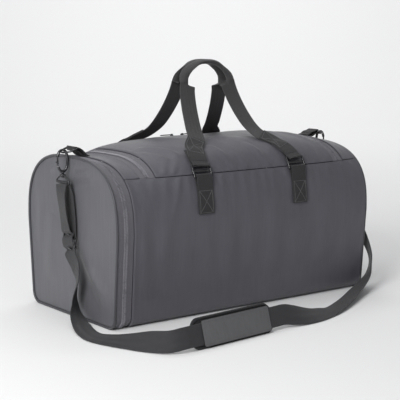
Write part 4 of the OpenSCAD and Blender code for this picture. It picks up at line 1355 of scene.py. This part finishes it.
def build_strap():
    steps = 10
    line = weave(smooth_line(ROUTE[:, :3], steps))
    widths = smooth_line(ROUTE[:, 3:], steps)
    strap, _ = webbing_strip("shoulder_strap", line, widths, STRAP_W, STRAP_T, "strap")
    stands_for(strap, "bag", ["strap_webbing"])
    strap_layer("strap_doubled_layer", [*eye_turn(16), (-336.4, -0.5, 262), (-334, -3, 250),
                                        (-333, -8, 215), (-335, -13, 184), (-337.6, -16.5, 160)],
                "left", "strap_return_left")
    strap_layer("strap_sewn_end", [*eye_turn(0), (-339.8, 0, 258), (-343.4, -8, 240),
                                   (-345, -16, 226)], "right", "strap_end_right")
    pieces = ["strap_doubled_layer", "strap_sewn_end", "strap_slide", "pad_cushion", "pad_front",
              "pad_binding", "pad_stitches"]
    for label in ("left", "right"):
        pieces += [f"{kind}_{label}" for kind in (
            "strap_loop", "eye_collar", "hook_ring", "hook_post", "hook_gate_bar", "gate_stud",
            "gate_pin")]


def pad_outline(length, width, corner, steps=10):
    """Rounded rectangle: points along and across, once round."""
    out = []
    for sx, sy, start in ((1, 1, 0), (-1, 1, 90), (-1, -1, 180), (1, -1, 270)):
        for k in range(steps + 1):
            a = math.radians(start + 90 * k / steps)
            out.append((sx * (length / 2 - corner) + corner * math.cos(a),
                        sy * (width / 2 - corner) + corner * math.sin(a)))
    return np.array(out)


def barrel(outline):
    """Widens an outline on its upper side and moves it a little to the left."""
    middle = 1 - (outline[:, :1] / (PAD_L / 2 + 2)) ** 2
    upper = np.maximum(outline[:, 1:], 0) * 0.45 * middle
    return outline + np.concatenate([0 * middle - 6, upper], 1)


def pad_place(flat, out_by):
    """From along, across and outward distances on the pad to the bag's frame."""
    out = np.cross(PAD_DIR, PAD_UP)
    return (PAD_MID + flat[:, :1] * PAD_DIR + flat[:, 1:2] * PAD_UP
            + np.asarray(out_by, float).reshape(-1, 1) * out)


def cushion(name, outline, off, t, crown, material):
    """Closed pad with a crowned front and back that thin towards its sewn edge."""
    shares = np.array([0.0, 0.25, 0.45, 0.62, 0.76, 0.87, 0.94, 0.98, 1.0])
    verts, cloth = [], []
    for sign in (1, -1):
        for share in shares:
            ring = outline * share
            edge = t / 2 * math.sqrt(max(0.05, 1 - share ** 5))
            ripple = 0.35 * crown * np.sin(ring[:, 0] * 0.13 + 1) * (1 - share ** 2)
            height = off + sign * (edge + crown * (1 - share ** 2)) + ripple
            verts.append(pad_place(ring, height))
            cloth.append(ring)
    faces = shell_faces(len(shares), len(outline), 1)
    piece = make_piece(name, np.concatenate(verts), faces, material, np.concatenate(cloth))
    work = bmesh.new()
    work.from_mesh(piece.data)
    bmesh.ops.remove_doubles(work, verts=work.verts, dist=1e-6)
    bmesh.ops.recalc_face_normals(work, faces=work.faces)
    work.to_mesh(piece.data)
    work.free()
    return piece


def build_pad():
    gap = STRAP_T / 2 + 0.5
    rim = barrel(pad_outline(PAD_L + 4, PAD_W - 4, 16, 12))
    back = cushion("pad_cushion", rim, -(gap + PAD_BASE_T / 2), PAD_BASE_T, 0.8, "mesh")
    stands_for(back, "shoulder_pad", ["pad_base"])
    front = cushion("pad_front", pad_outline(PAD_L * 0.86, PAD_W - 6, 4), gap + PAD_COVER_T / 2,
                    PAD_COVER_T, 1.2, "pad")
    stands_for(front, "shoulder_pad", ["pad_cover"])
    binding = tube("pad_binding", pad_place(rim, -(gap + 2.8) + 0 * rim[:, 0]), 3.0, "mesh", 10,
                   True, np.cross(PAD_DIR, PAD_UP))
    stands_for(binding, "shoulder_pad")
    inset = 2.2
    edge = pad_outline(PAD_L * 0.86 - 2 * inset, PAD_W - 6 - 2 * inset, 3)
    edge = np.concatenate([edge, edge[:1]])
    direction, at = evenly(pad_place(edge, gap + PAD_COVER_T + 0.35 + 0 * edge[:, 0]), 3.2)
    stitches = capsules("pad_stitches", at, direction, 1.25, 0.3, "grey_thread")
    stands_for(stitches, "shoulder_pad")


build_pad()
build_strap()
